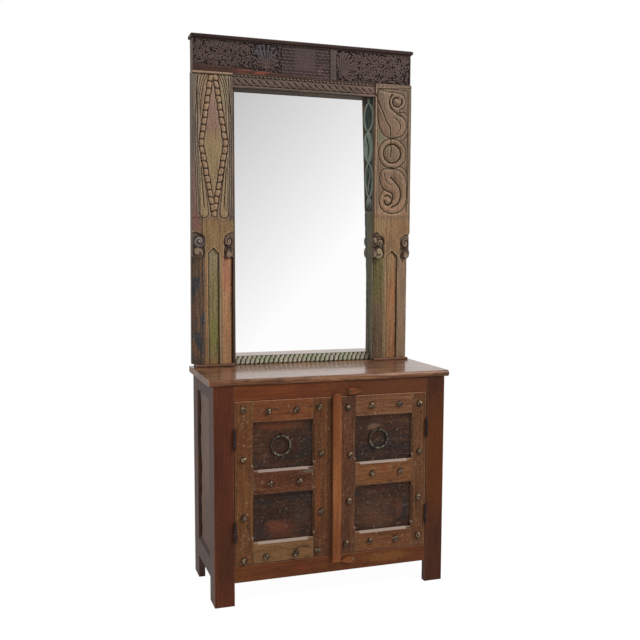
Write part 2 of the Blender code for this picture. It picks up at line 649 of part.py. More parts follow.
def build_back_and_inside():
    """Back rails and panel, bottom board, shelf and the cleats that carry the boards."""
    inner = SIDE_INNER_X - GAP
    depth = (BACK_RAIL_FRONT, CABINET_DEPTH)
    tenon_front = CABINET_DEPTH - (BACK_RAIL_THICKNESS + TENON_THICKNESS) / 2
    tenon_depth = (tenon_front, tenon_front + TENON_THICKNESS)
    heights = {"back_top_rail": (TOP_RAIL_FROM, TOP_UNDERSIDE - GAP),
               "back_bottom_rail": (SIDE_RAIL_CLEARANCE, SIDE_RAIL_TOP)}
    for name, (low, high) in heights.items():
        rail = board(name, (-inner, inner), depth, (low, high), "inner_wood")
        reach = SIDE_INNER_X + BACK_TENON
        tongue = (low + TENON_SHOULDER, high - TENON_SHOULDER)
        join(rail, board(name + "_tenons", (-reach, reach), tenon_depth, tongue, None))
        for side, word in ((-1, "left"), (1, "right")):
            across = sorted((side * (SIDE_INNER_X - ARRIS), side * (reach + GAP)))
            leg = bpy.data.objects["back_" + word + "_leg"]
            cut(leg, pocket("back_mortise", across,
                            (tenon_depth[0] - GAP, tenon_depth[1] + GAP),
                            (tongue[0] - GAP, tongue[1] + GAP)))
    panel = (BACK_PANEL_FRONT, BACK_PANEL_FRONT + BACK_PANEL_THICKNESS)
    board("back_panel", (-inner, inner), panel, (SIDE_RAIL_CLEARANCE, TOP_UNDERSIDE - GAP),
          "inner_wood")
    inside = (LEG_THICKNESS + GAP, BACK_PANEL_FRONT - GAP)
    floor_low = BOTTOM_RAIL_TOP - FLOOR_THICKNESS
    board("bottom_board", (-inner, inner), inside, (floor_low, BOTTOM_RAIL_TOP), "inner_wood")
    shelf_reach = SIDE_INNER_X + HOUSING_DEPTH - GAP
    shelf_height = (SHELF_HEIGHT, SHELF_HEIGHT + SHELF_THICKNESS)
    board("shelf", (-shelf_reach, shelf_reach), (SHELF_FRONT, inside[1]), shelf_height,
          "inner_wood")
    for side, word in ((-1, "left"), (1, "right")):
        across = sorted((side * (SIDE_INNER_X - ARRIS), side * (shelf_reach + GAP)))
        housing_height = (shelf_height[0] - GAP, shelf_height[1] + GAP)
        stile = bpy.data.objects[word + "_side_stile"]
        leg = bpy.data.objects["back_" + word + "_leg"]
        cut(stile, pocket("shelf_housing", across, (SHELF_FRONT - GAP, STILE_BACK + ARRIS),
                          housing_height))
        cut(leg, pocket("shelf_housing", across, (BACK_LEG_FRONT - ARRIS, inside[1] + GAP),
                        housing_height))
        rail = bpy.data.objects[word + "_side_bottom_rail"]
        cleat = sorted((side * (SIDE_INNER_X - CLEAT), side * (SIDE_INNER_X + ARRIS)))
        join(rail, board("floor_cleat", cleat, (STILE_BACK + GAP, BACK_LEG_FRONT - GAP),
                         (floor_low - GAP - CLEAT, floor_low - GAP), None))


def hinge_height(share):
    return DOOR_BOTTOM + DOOR_HEIGHT * share


def hinge_pocket(side, share, toward):
    """Cutter for a hinge leaf let into the leg (toward 1) or into the door (toward -1)."""
    middle = hinge_height(share)
    half = HINGE_LENGTH / 2 + GAP
    near = HINGE_X + toward * (LEAF_GAP / 2 - DOOR_GAP)
    far = HINGE_X + toward * (LEAF_GAP / 2 + HINGE_LEAF_THICKNESS + GAP)
    across = sorted((side * near, side * far))
    return pocket("hinge_pocket", across, (-ARRIS, HINGE_LEAF_WIDTH + GAP),
                  (middle - half, middle + half))


def build_hinge_leaf(name, toward, knuckles):
    """One hinge leaf for the right side, centred on z = 0 and on its pin's axis.

    toward is 1 for the leg's leaf and -1 for the door's; knuckles lists the low and high ends.
    """
    near = toward * LEAF_GAP / 2
    far = toward * (LEAF_GAP / 2 + HINGE_LEAF_THICKNESS)
    across = sorted((near, far))
    half = HINGE_LENGTH / 2
    offset = HINGE_STANDOFF - FACE_Y
    plate = board(name, across, (offset, offset + HINGE_LEAF_WIDTH), (-half, half), None)
    wall = (HINGE_PIN_RADIUS + PIN_PLAY + BARREL_RADIUS) / 2
    bore_radius = HINGE_PIN_RADIUS + PIN_PLAY
    for low, high in knuckles:
        tongue_depth = (wall - FACE_Y, offset + ARRIS)
        join(plate, board(name + "_tongue", across, tongue_depth, (low, high), None))
        profile = [(bore_radius, low), (BARREL_RADIUS, low),
                   (BARREL_RADIUS, high), (bore_radius, high)]
        join(plate, turned(name + "_knuckle", profile, (0, 0, 0), None, steps=14, closed=True))
    return plate


def build_hinges(left_door, right_door):
    """Four butt hinges; each pin is riveted into the leaf that is on the leg."""
    third = HINGE_LENGTH / 6
    half = HINGE_LENGTH / 2
    leg_leaf = build_hinge_leaf("leg_leaf", 1, [(-half, -third - GAP), (third + GAP, half)])
    door_leaf = build_hinge_leaf("door_leaf", -1, [(-third, third)])
    tip = half + RIVET_RADIUS
    root = half - ARRIS
    upper = [(HINGE_PIN_RADIUS, root), (RIVET_RADIUS, root), (RIVET_FLAT, tip), (0, tip)]
    profile = [(radius, -height) for radius, height in reversed(upper)] + upper
    join(leg_leaf, turned("pin", profile, (0, 0, 0), None, steps=14))
    axis_y = FACE_Y - HINGE_STANDOFF
    for side, word, pivot in ((-1, "left", left_door), (1, "right", right_door)):
        turn = Matrix.Identity(4) if side > 0 else Matrix.Rotation(math.pi, 4, 'Y')
        for share, level in zip(HINGE_SHARES, ("lower", "upper")):
            spot = Vector((side * HINGE_X, axis_y, hinge_height(share)))
            move = Matrix.Translation(spot)
            name = word + "_" + level + "_hinge_"
            copies(name + "frame_leaf", leg_leaf, [move @ turn], "iron", spot)
            leaf = copies(name + "door_leaf", door_leaf, [move @ turn], "iron", spot)
            attach(leaf, pivot)
    for pattern in (leg_leaf, door_leaf):
        remove(pattern)


def chamfer_cutter(centre, length, direction):
    """A square bar on its edge with pointed ends, which leaves a stopped chamfer."""
    half = length / 2
    profile = [(0, -half), (CHAMFER, -half + CHAMFER), (CHAMFER, half - CHAMFER), (0, half)]
    bar = turned("stopped_chamfer", profile, centre, None, steps=4)
    if direction == 'X':
        bar.data.transform(Matrix.Rotation(math.radians(90), 4, 'Y'))
    return bar


def door_piece(pivot, name, across, depth, height, surface="door_wood"):
    made = board(name, across, depth, height, surface)
    attach(made, pivot)
    return made


def build_door(word, side, edges, opening, eye_x, stud_spots):
    """One framed and panelled door, closed; its edges and its opening go from the hinge inwards."""
    pivot = bpy.data.objects.new(word + "_door_pivot", None)
    pivot.location = (side * HINGE_X, FACE_Y - HINGE_STANDOFF, 0.0)
    collection(PARTS_COLLECTION).objects.link(pivot)
    hinge_edge, meeting_edge = edges
    hinge_inner, meeting_inner = opening
    outer = {"hinge": hinge_edge, "meeting": meeting_edge}
    inner = {"hinge": hinge_inner, "meeting": meeting_inner}
    inward = {"hinge": -side, "meeting": side}
    thickness = (0, DOOR_THICKNESS)
    height = (DOOR_BOTTOM, DOOR_TOP)
    groove_depth = (PANEL_RECESS, PANEL_RECESS + PANEL_THICKNESS + 2 * GAP)
    mid = (MID_RAIL_CENTRE - DOOR_MID_RAIL / 2, MID_RAIL_CENTRE + DOOR_MID_RAIL / 2)
    rails = {
        "top": (DOOR_TOP - DOOR_TOP_RAIL, DOOR_TOP),
        "mid": mid,
        "bottom": (DOOR_BOTTOM, DOOR_BOTTOM + DOOR_BOTTOM_RAIL),
    }
    fields = ((rails["bottom"][1], mid[0]), (mid[1], rails["top"][0]))
    members = {}

    for kind in ("hinge", "meeting"):
        across = sorted((outer[kind], inner[kind]))
        stile = door_piece(pivot, word + "_door_" + kind + "_stile", across, thickness, height)
        members[kind] = (stile, across)
        reach = inner[kind] - inward[kind] * PANEL_GROOVE
        open_edge = inner[kind] + inward[kind] * ARRIS
        cut(stile, pocket("stile_groove", sorted((reach, open_edge)), groove_depth,
                          (DOOR_BOTTOM - ARRIS, DOOR_TOP + ARRIS)))
        for low, high in fields:
            length = high - low - 2 * CHAMFER_STOP
            centre = (inner[kind], FACE_Y, (low + high) / 2)
            cut(stile, chamfer_cutter(centre, length, 'Z'))

    left_inner = min(hinge_inner, meeting_inner)
    right_inner = max(hinge_inner, meeting_inner)
    for kind, (low, high) in rails.items():
        deep = (0, PANEL_RECESS) if kind == "mid" else thickness
        rail = door_piece(pivot, word + "_door_" + kind + "_rail",
                          (left_inner + GAP, right_inner - GAP), deep, (low, high))
        members[kind] = (rail, (left_inner, right_inner))
        tenon = MID_TENON if kind == "mid" else DOOR_TENON
        if kind == "mid":
            front = (PANEL_RECESS - MID_TENON_THICKNESS) / 2
            tenon_depth = (front, front + MID_TENON_THICKNESS)
            tongue = (low + TENON_SHOULDER, high - TENON_SHOULDER)
        else:
            tenon_depth = (groove_depth[0] + GAP, groove_depth[1] - GAP)
            clear = PANEL_GROOVE + GAP
            tongue = (low + (clear if kind == "top" else TENON_SHOULDER),
                      high - (clear if kind == "bottom" else TENON_SHOULDER))
        reach = (left_inner - tenon, right_inner + tenon)
        if kind != "mid":
            groove_low = low - ARRIS if kind == "top" else high - PANEL_GROOVE
            groove_high = low + PANEL_GROOVE if kind == "top" else high + ARRIS
            cut(rail, pocket("rail_groove", (left_inner - ARRIS, right_inner + ARRIS),
                             groove_depth, (groove_low, groove_high)))
        join(rail, board(word + "_" + kind + "_tenons", reach, tenon_depth, tongue, None))
        if kind != "top":
            length = right_inner - left_inner - 2 * CHAMFER_STOP
            cut(rail, chamfer_cutter(((left_inner + right_inner) / 2, FACE_Y, high), length, 'X'))
        socket = (tongue[0] - GAP, tongue[1] + GAP)
        socket_depth = (tenon_depth[0] - GAP, tenon_depth[1] + GAP)
        for member in ("hinge", "meeting"):
            bottom_of_socket = inner[member] - inward[member] * (tenon + GAP)
            mouth = inner[member] + inward[member] * ARRIS
            cut(members[member][0], pocket("rail_mortise", sorted((bottom_of_socket, mouth)),
                                           socket_depth, socket))

    for share in HINGE_SHARES:
        cut(members["hinge"][0], hinge_pocket(side, share, -1))

    edge = PANEL_GROOVE - GAP
    panel = door_piece(pivot, word + "_door_panel", (left_inner - edge, right_inner + edge),
                       (groove_depth[0] + GAP, groove_depth[1] - GAP),
                       (fields[0][0] - edge, fields[1][1] + edge), "panel_wood")
    build_studs(side, members, rails, stud_spots)
    build_ring(word, pivot, panel, eye_x)
    return pivot


def build_studs(side, members, rails, stud_spots):
    """Domed iron studs driven into the door's members, by shares across and along each."""
    radius = STUD_DIAMETER / 2
    profile = [(0, -STUD_SEAT), (radius, -STUD_SEAT)]
    for angle in (18, 50):
        turn = math.radians(angle)
        profile.append((radius * math.cos(turn), STUD_HEIGHT * math.sin(turn)))
    profile.append((0, STUD_HEIGHT))
    stud = turned("stud", profile, (0, 0, 0), None, steps=12, axis='Y')
    for kind, (member, (low, high)) in members.items():
        matrices = []
        for stud_kind, across, along in stud_spots:
            if stud_kind != kind:
                continue
            from_hinge = (high - low) * across
            x = low + from_hinge if side < 0 else high - from_hinge
            bottom, top = rails.get(kind, (DOOR_BOTTOM, DOOR_TOP))
            z = bottom + (top - bottom) * along
            matrices.append(Matrix.Translation((x, FACE_Y, z)))
        join(member, copies(kind + "_studs", stud, matrices, None, member.location))
    remove(stud)


def build_ring(word, pivot, panel, eye_x):
    """The ring pull and the staple-shaped eye that holds it on the panel."""
    panel_front = PANEL_RECESS + GAP
    wire_depth = panel_front - RING_REST_GAP - RING_WIRE
    bend = EYE_BORE + EYE_WIRE
    legs_end = panel_front + PANEL_THICKNESS + EYE_CLINCH
    eye_z = EYE_HEIGHT
    round_part = arc((wire_depth, eye_z), bend, 270, 90, 10)
    route = [(legs_end, eye_z - bend), *round_part, (legs_end, eye_z + bend)]
    points = [(eye_x, FACE_Y + depth, z) for depth, z in route]
    eye = wire(word + "_ring_eye", points, EYE_WIRE, "iron", resolution=2)
    attach(eye, pivot)
    for step in (-1, 1):
        hole = bore("eye_hole", (eye_x, FACE_Y + panel_front - ARRIS, eye_z + step * bend),
                    EYE_WIRE + PIN_PLAY, PANEL_THICKNESS + 2 * ARRIS, 'Y')
        cut(panel, hole)
    sag = EYE_BORE - RING_WIRE - GAP
    radius = RING_DIAMETER / 2 - RING_WIRE
    bpy.ops.mesh.primitive_torus_add(major_radius=radius, minor_radius=RING_WIRE,
                                     major_segments=32, minor_segments=8)
    loop = bpy.context.object
    mesh = loop.data.copy()
    bpy.data.objects.remove(loop, do_unlink=True)
    mesh.name = word + "_ring"
    upright = Matrix.Rotation(math.radians(90), 4, 'X')
    mesh.transform(Matrix.Translation((0, 0, -radius)) @ upright)
    mesh.shade_smooth()
    ring = place(word + "_ring", mesh, (eye_x, FACE_Y + wire_depth, eye_z - sag), "iron")
    attach(ring, pivot)


def build_centre_strip(pivot):
    """Rounded strip on the right door that covers the meeting gap, with a round head."""
    left = MEETING_X + MEETING_GAP / 2 + STRIP_INSET
    right = left + STRIP_WIDTH
    middle = (left + right) / 2
    low = DOOR_BOTTOM - STRIP_TAIL
    high = DOOR_TOP + STRIP_HEAD
    head = arc((middle, high - STRIP_WIDTH / 2), STRIP_WIDTH / 2, 0, 180, 10)
    outline = [(left, low), (right, low), *head]
    strip = prism("centre_strip", outline, 'Y', FACE_Y - STRIP_PROUD, FACE_Y - GAP, "strip_wood",
                  (middle, FACE_Y, low))
    form = bmesh.new()
    form.from_mesh(strip.data)
    front = -STRIP_PROUD
    rim = [edge for edge in form.edges
           if all(abs(vertex.co.y - front) < GAP / 2 for vertex in edge.verts)
           and len(edge.link_faces) == 2
           and any(abs(face.normal.y) < 0.5 for face in edge.link_faces)]
    bmesh.ops.bevel(form, geom=rim, offset=STRIP_ROUNDING, segments=4, profile=0.5,
                    affect='EDGES', clamp_overlap=True)
    form.to_mesh(strip.data)
    form.free()
    strip.data.shade_smooth()
    strip.data.set_sharp_from_angle(angle=ROUND_ANGLE)
    attach(strip, pivot)


def leaf_outline(reach):
    """Outline of a leaf-shaped turn-button that points along +x from its pivot."""
    length = BUTTON_ROOT + reach
    steps = 12
    upper = []
    for index in range(steps + 1):
        share = index / steps
        half = 0.0
        if 0 < index < steps:
            bulge = math.sin(math.pi * share ** BUTTON_SWELL) ** BUTTON_FULLNESS
            half = BUTTON_WIDTH / 2 * bulge
        upper.append((share * length - BUTTON_ROOT, half))
    lower = [(x, -half) for x, half in upper[1:-1]]
    return upper[::-1] + lower


def build_turn_buttons():
    """Two wooden turn-buttons and the screws that they turn on."""
    spots = {
        "top_turn_button": (TOP_BUTTON_X, TOP_BUTTON_HEIGHT, TOP_BUTTON_REACH, 1),
        "bottom_turn_button": (BOTTOM_BUTTON_X, BOTTOM_BUTTON_HEIGHT, BOTTOM_BUTTON_REACH, -1),
    }
    back = FACE_Y - GAP
    front = back - BUTTON_THICKNESS
    for name, (x, z, reach, direction) in spots.items():
        outline = [(x + direction * along, z + aside) for along, aside in leaf_outline(reach)]
        button = prism(name, outline, 'Y', front, back, "strip_wood", (x, back, z))
        bevel = button.modifiers.new("Worn edge", 'BEVEL')
        bevel.width = ARRIS
        bevel.segments = 1
        bevel.limit_method = 'ANGLE'
        bevel.angle_limit = math.radians(50)
        cut(button, bore("button_hole", (x, front - ARRIS, z), SCREW_RADIUS + PIN_PLAY,
                         BUTTON_THICKNESS + 2 * ARRIS, 'Y'))
    head = -BUTTON_THICKNESS - GAP
    profile = [(0, head - SCREW_HEAD_HEIGHT), (SCREW_HEAD_FLAT, head - SCREW_HEAD_HEIGHT),
               (SCREW_HEAD_RADIUS, head), (SCREW_RADIUS, head), (SCREW_RADIUS, SCREW_BITE),
               (0, SCREW_BITE)]
    profile = [(radius, -depth) for radius, depth in profile]
    screw = turned("screw", profile, (0, 0, 0), None, steps=12, axis='Y')
    for name, (x, z, reach, direction) in spots.items():
        spot = Vector((x, back, z))
        copies(name + "_screw", screw, [Matrix.Translation(spot)], "iron", spot)
    remove(screw)


def roll_profile(radius, front, back):
    """Face of a carved scroll roll: boss, hollow and rounded rim, then its side."""
    face = []
    for share, sunk in ROLL_FACE:
        face.append((radius * share, front + sunk))
    return [*face, (radius, back), (0, back)]


def build_post(side, word, outer_lap, inner_lap):
    """A carved post: head block, half-octagonal shaft with a pointed recess, and scroll rolls."""
    centre = side * POST_X
    front = FACE_Y + FRAME_FRONT
    back = FACE_Y + FRAME_BACK
    half = POST_WIDTH / 2
    shaft_top = TOP_HEIGHT + HEAD_FROM
    post = board(word + "_post", (centre - half + GAP, centre + half - GAP),
                 (FRAME_FRONT, FRAME_BACK), (shaft_top, POST_TOP), "post_wood")
    outer = half - SHAFT_INSET
    inner = half - GAP
    facet = SHAFT_FACET / 2
    section = [(outer, back), (outer, front + SHAFT_CANT), (facet, front),
               (-facet, front), (-inner, front + SHAFT_CANT), (-inner, back)]
    section = [(centre + side * x, y) for x, y in section]
    shaft_foot = TOP_HEIGHT + BASE_CLEAT_HEIGHT / 2
    shaft = prism("shaft", section, 'Z', shaft_foot, shaft_top + BRACKET_LAP, None)
    join(post, shaft)
    for toward, lap in ((side, outer_lap), (-side, inner_lap)):
        for across, height, radius in (UPPER_ROLL, LOWER_ROLL):
            reach = min(across + lap, half + lap - radius)
            profile = roll_profile(radius, -BRACKET_PROUD, JAMB_SETBACK - GAP)
            profile = [(r, -depth) for r, depth in profile]
            spot = (centre + toward * reach, front, TOP_HEIGHT + height)
            join(post, turned("roll", profile, spot, None, steps=12, axis='Y'))
    neck = [(-NICHE_WIDTH / 2, NICHE_TOP - NICHE_RISE), (0, NICHE_TOP),
            (NICHE_WIDTH / 2, NICHE_TOP - NICHE_RISE), (NICHE_WIDTH / 2, -ARRIS),
            (-NICHE_WIDTH / 2, -ARRIS)]
    neck = [(centre + x, TOP_HEIGHT + z) for x, z in neck]
    cut(post, prism("niche", neck, 'Y', front - RELIEF, front + NICHE_DEPTH, None))
    ledge = board("ledge", (centre - half + NECK_LEDGE_INSET, centre + half - NECK_LEDGE_INSET),
                  (FRAME_FRONT - NECK_LEDGE_PROUD, FRAME_FRONT + RELIEF),
                  (POST_TOP - NECK_LEDGE - ARRIS, POST_TOP - ARRIS), None)
    join(post, ledge)
    foot = board("foot_board", (centre - half + FOOT_INSET, centre + half - FOOT_INSET),
                 (FRAME_FRONT - BASE_CLEAT_DEPTH, FRAME_BACK - FOOT_INSET),
                 (TOP_HEIGHT + GAP, TOP_HEIGHT + BASE_CLEAT_HEIGHT), None)
    join(post, foot, stub(side, TOP_HEIGHT - STUB_LENGTH, TOP_HEIGHT + ARRIS, 0),
         stub(side, POST_TOP - ARRIS, POST_TOP + STUB_LENGTH, 0))
    return post


def chain_spread(height):
    """Distance of a chain of blocks from the post's middle at a height above the tabletop."""
    if height > CHAIN_WIDEST:
        share = (CHAIN_TOP - height) / (CHAIN_TOP - CHAIN_WIDEST)
        return CHAIN_TOP_SPREAD + (CHAIN_SPREAD - CHAIN_TOP_SPREAD) * share
    share = (height - CHAIN_BOTTOM) / (CHAIN_WIDEST - CHAIN_BOTTOM)
    return CHAIN_SPREAD * share


def block_chains(centre):
    """Two chains of tapered blocks that part and meet again, as one relief."""
    mesh = bpy.data.meshes.new("block_chains")
    form = bmesh.new()
    front = FACE_Y + FRAME_FRONT
    step = (CHAIN_TOP - CHAIN_BOTTOM) / (CHAIN_BLOCKS - 1)
    for index in range(CHAIN_BLOCKS):
        height = CHAIN_TOP - step * index
        spread = chain_spread(height)
        sides = (-1, 1) if spread > BLOCK_WIDTH / 2 - GAP else (0,)
        for side in sides:
            scale = Matrix.Diagonal((BLOCK_WIDTH, BLOCK_HEIGHT, 1.0, 1.0))
            spin = Matrix.Rotation(math.radians(45), 4, 'Z')
            stand = Matrix.Rotation(math.radians(90), 4, 'X')
            spot = (centre + side * spread, front, TOP_HEIGHT + height)
            bmesh.ops.create_cone(form, cap_ends=True, segments=4, radius1=math.sqrt(0.5),
                                  radius2=math.sqrt(0.5) * BLOCK_TAPER, depth=2 * RELIEF,
                                  matrix=Matrix.Translation(spot) @ stand @ scale @ spin)
    form.to_mesh(mesh)
    form.free()
    return place("block_chains", mesh, (0, 0, 0), None)


def build_left_post():
    """Left post with its chains of blocks and the two tongues beside them."""
    post = build_post(-1, "left", 0.0115, 0.0)
    centre = -POST_X
    join(post, block_chains(centre))
    front = FACE_Y + FRAME_FRONT
    for side in (-1, 1):
        round_end = arc((0, TONGUE_HEIGHT), TONGUE_RADIUS, 180, 360, 8)
        tip = (TONGUE_RADIUS, TONGUE_TIP)
        outline = [*round_end, tip]
        outline = [(centre + side * (TONGUE_X + x), TOP_HEIGHT + z) for x, z in outline]
        join(post, prism("tongue", outline, 'Y', front - TONGUE_PROUD, front + RELIEF, None))


def scroll(across, height, end):
    """Route of a scroll: an even spiral that ends at an angle in degrees, counter-clockwise."""
    points = []
    steps = 36
    start = end - 360 * SCROLL_TURNS
    for index in range(steps + 1):
        share = index / steps
        radius = SCROLL_EYE + (SCROLL_REACH - SCROLL_EYE) * share
        angle = math.radians(start + (end - start) * share)
        points.append((across + radius * math.cos(angle), height + radius * math.sin(angle)))
    return points


def build_right_post():
    """Right post with two scrolls that flow to a ring between them."""
    post = build_post(1, "right", 0.005, 0.015)
    centre = POST_X
    depth = FACE_Y + FRAME_FRONT + BAND_RADIUS - BAND_PROUD
    ring_x, ring_z, ring_radius = RING_CARVING
    loop = arc((ring_x, ring_z), ring_radius, 0, 350, 27)
    meeting = ring_radius + BAND_MEETING
    upper = scroll(*UPPER_SCROLL, 180)
    upper += swing(upper[-1], (ring_x, ring_z + meeting))
    lower = scroll(*LOWER_SCROLL, 0)
    lower += swing(lower[-1], (ring_x, ring_z - meeting))
    bands = ((loop, True), (upper, False), (lower, False))
    for route, cyclic in bands:
        points = [(centre + x, depth, TOP_HEIGHT + z) for x, z in route]
        join(post, wire("band", points, BAND_RADIUS, None, cyclic=cyclic))


def swing(start, end):
    """Points of a gentle S between two places, without the first."""
    points = []
    steps = 8
    for index in range(1, steps + 1):
        share = index / steps
        ease = share * share * (3 - 2 * share)
        points.append((start[0] + (end[0] - start[0]) * ease,
                       start[1] + (end[1] - start[1]) * share))
    return points


def build_frame_top():
    """Frieze board on the posts' stub tenons, cap board, and lintel between the posts."""
    half = FRAME_WIDTH / 2
    frieze = board("frieze_board", (-half, half), (FRAME_FRONT, FRAME_BACK),
                   (POST_TOP + GAP, FRIEZE_TOP), "frieze_wood")
    board("cap_board", (-half - CAP_OVERHANG, half + CAP_OVERHANG),
          (FRAME_FRONT - CAP_OVERHANG, FRAME_BACK), (FRIEZE_TOP + GAP, FRIEZE_TOP + CAP_THICKNESS),
          "frieze_wood", arris=CAP_ARRIS)
    for side in (-1, 1):
        cut(frieze, stub(side, POST_TOP - ARRIS, POST_TOP + STUB_LENGTH + GAP, GAP))

    top = POST_TOP
    low = top - LINTEL_HEIGHT
    face = FACE_Y + FRAME_FRONT + LINTEL_SETBACK
    back = FACE_Y + GLASS_FRONT - GAP
    bead = LINTEL_BEAD
    hollow = face + LINTEL_HOLLOW
    outline = [(back, top), (face, top), (face, low + 4 * bead),
               (hollow, low + 3 * bead), (hollow, low + 2 * bead),
               *arc((face + bead, low + bead), bead, 135, 270, 5), (back, low)]
    span = BETWEEN_POSTS - GAP
    prism("lintel", outline, 'X', -span, span, "frieze_wood", (0, face, low))


def build_mirror():
    """Jambs, carved strip, glass and backboard, all held between the posts."""
    span = BETWEEN_POSTS - GAP
    low = TOP_HEIGHT + GAP
    lintel_low = POST_TOP - LINTEL_HEIGHT
    jamb_depth = (FRAME_FRONT + JAMB_SETBACK, GLASS_FRONT - GAP)
    board("left_jamb", (-span, -span + LEFT_JAMB_WIDTH), jamb_depth, (low, lintel_low - GAP),
          "green_wood", arris=0)
    build_right_jamb(span, jamb_depth, low, lintel_low - GAP)

    back = FACE_Y + GLASS_FRONT - GAP
    front = back - SILL_DEPTH
    sill_top = low + SILL_HEIGHT
    outline = [(back, low), (front, low)]
    outline += [(front + lean, low + height) for lean, height in SILL_FACE]
    outline += [(front + SILL_LEAN, sill_top), (back, sill_top)]
    splay = SPLAY_BOTTOM + (SPLAY_TOP - SPLAY_BOTTOM) * SILL_HEIGHT / (lintel_low - GAP - low)
    prism("bottom_strip", outline, 'X', -span + LEFT_JAMB_WIDTH + GAP,
          span - max(splay, JAMB_EDGE) - GAP, "green_wood", (0, front, low))

    glass = (GLASS_FRONT, GLASS_FRONT + GLASS_THICKNESS)
    board("mirror_glass", (-span, span), glass, (low, POST_TOP), "mirror_silver", arris=0)
    backing = (glass[1] + GAP, glass[1] + GAP + BACKBOARD_THICKNESS)
    board("mirror_backboard", (-span, span), backing, (low, POST_TOP), "inner_wood", arris=0)


def build_right_jamb(span, depth, low, high):
    """Splayed jamb: its back edge reaches further over the glass at the top than at the foot."""
    mesh = centred_box_mesh("right_jamb", (SPLAY_TOP, SPLAY_TOP, high - low))
    front_y = FACE_Y + depth[0]
    back_y = FACE_Y + depth[1]
    for vertex in mesh.vertices:
        x, y, z = (value > 0 for value in vertex.co)
        reach = SPLAY_TOP if z else SPLAY_BOTTOM
        if not y:
            reach = JAMB_EDGE
        vertex.co.x = span if x else span - reach
        vertex.co.y = back_y if y else front_y
        vertex.co.z = high if z else low
    form = bmesh.new()
    form.from_mesh(mesh)
    bmesh.ops.triangulate(form, faces=form.faces)
    form.to_mesh(mesh)
    form.free()
    place("right_jamb", mesh, (0, 0, 0), "green_wood")


# Stud places: member, share across from the hinge side, share along from the bottom
LEFT_STUDS = (
    ("hinge", 0.478, 0.950), ("hinge", 0.478, 0.647), ("hinge", 0.478, 0.289),
    ("hinge", 0.478, 0.024), ("meeting", 0.336, 0.943), ("meeting", 0.450, 0.652),
    ("meeting", 0.436, 0.286), ("meeting", 0.264, 0.041), ("top", 0.253, 0.485),
    ("top", 0.716, 0.485), ("mid", 0.284, 0.417), ("mid", 0.769, 0.417),
    ("bottom", 0.205, 0.274), ("bottom", 0.707, 0.274),
)
RIGHT_STUDS = (
    ("hinge", 0.470, 0.928), ("hinge", 0.470, 0.617), ("hinge", 0.470, 0.319),
    ("hinge", 0.470, 0.067), ("meeting", 0.330, 0.931), ("meeting", 0.223, 0.630),
    ("meeting", 0.277, 0.335), ("meeting", 0.383, 0.065), ("top", 0.725, 0.485),
    ("top", 0.231, 0.485), ("mid", 0.705, 0.489), ("mid", 0.205, 0.489),
    ("bottom", 0.738, 0.465), ("bottom", 0.284, 0.465),
)


def build():
    clear_scene()
    build_tabletop()
    build_front_frame()
    build_sides()
    build_back_and_inside()
    left_door = build_door("left", -1, (-DOOR_OUTER, LEFT_DOOR_EDGE), LEFT_PANEL,
                           LEFT_EYE_X, LEFT_STUDS)
    right_door = build_door("right", 1, (DOOR_OUTER, RIGHT_DOOR_EDGE), RIGHT_PANEL,
                            RIGHT_EYE_X, RIGHT_STUDS)
    build_centre_strip(right_door)
    build_hinges(left_door, right_door)
    build_turn_buttons()
    build_left_post()
    build_right_post()
    build_frame_top()
    build_mirror()


build()
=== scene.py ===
"""Looks of a mirrored cabinet made from old carved and painted house timber.

The sections follow the object from the floor up: low cabinet, doors and ironwork, tabletop, then the
tall mirror frame with its carved posts, lintel, frieze and cap. Units are metres.
"""

import math

import bmesh
import bpy
import numpy as np
from mathutils import Matrix, Vector


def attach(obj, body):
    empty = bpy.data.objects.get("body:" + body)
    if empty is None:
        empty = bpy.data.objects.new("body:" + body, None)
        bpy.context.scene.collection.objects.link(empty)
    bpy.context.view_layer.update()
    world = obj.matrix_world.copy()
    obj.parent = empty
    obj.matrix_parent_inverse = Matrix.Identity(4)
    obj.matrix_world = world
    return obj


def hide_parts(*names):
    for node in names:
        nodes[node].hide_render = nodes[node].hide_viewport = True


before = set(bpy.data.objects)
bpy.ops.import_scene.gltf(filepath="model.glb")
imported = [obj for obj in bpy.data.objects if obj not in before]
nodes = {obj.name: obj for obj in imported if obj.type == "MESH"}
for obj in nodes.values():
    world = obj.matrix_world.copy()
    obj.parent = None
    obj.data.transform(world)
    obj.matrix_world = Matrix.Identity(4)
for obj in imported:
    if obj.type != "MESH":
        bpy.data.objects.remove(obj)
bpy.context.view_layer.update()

# The room: a white floor that runs back under a white surround, one soft light above on the right and a
# weak one on the left. The eye is at standing height, about three metres off.
FRAME_PIXELS, LENS_PIXELS = 640, 836.66   # width of the frame and focal length, in pixels
LENS_SHIFT = (-0.00363, 0.02262)          # the lens axis off the frame's middle, in frame widths
FILM = 36.0                               # width of the film in millimetres
EYE = Vector((-1.0137690, -3.0644362, 1.2720844))
YAW, PITCH, ROLL = 0.3251019, 0.0959884, 0.0036480
FLOOR_REACH = 14.0                        # half the floor's side
LAMPS = (("key", (2.5, -2.5, 4.2), 1.2, 158),    # name, place, size, watts
         ("side", (-3.4, -1.6, 2.2), 2.0, 10))
LAMP_AIM = Vector((0, 0, 1.0))

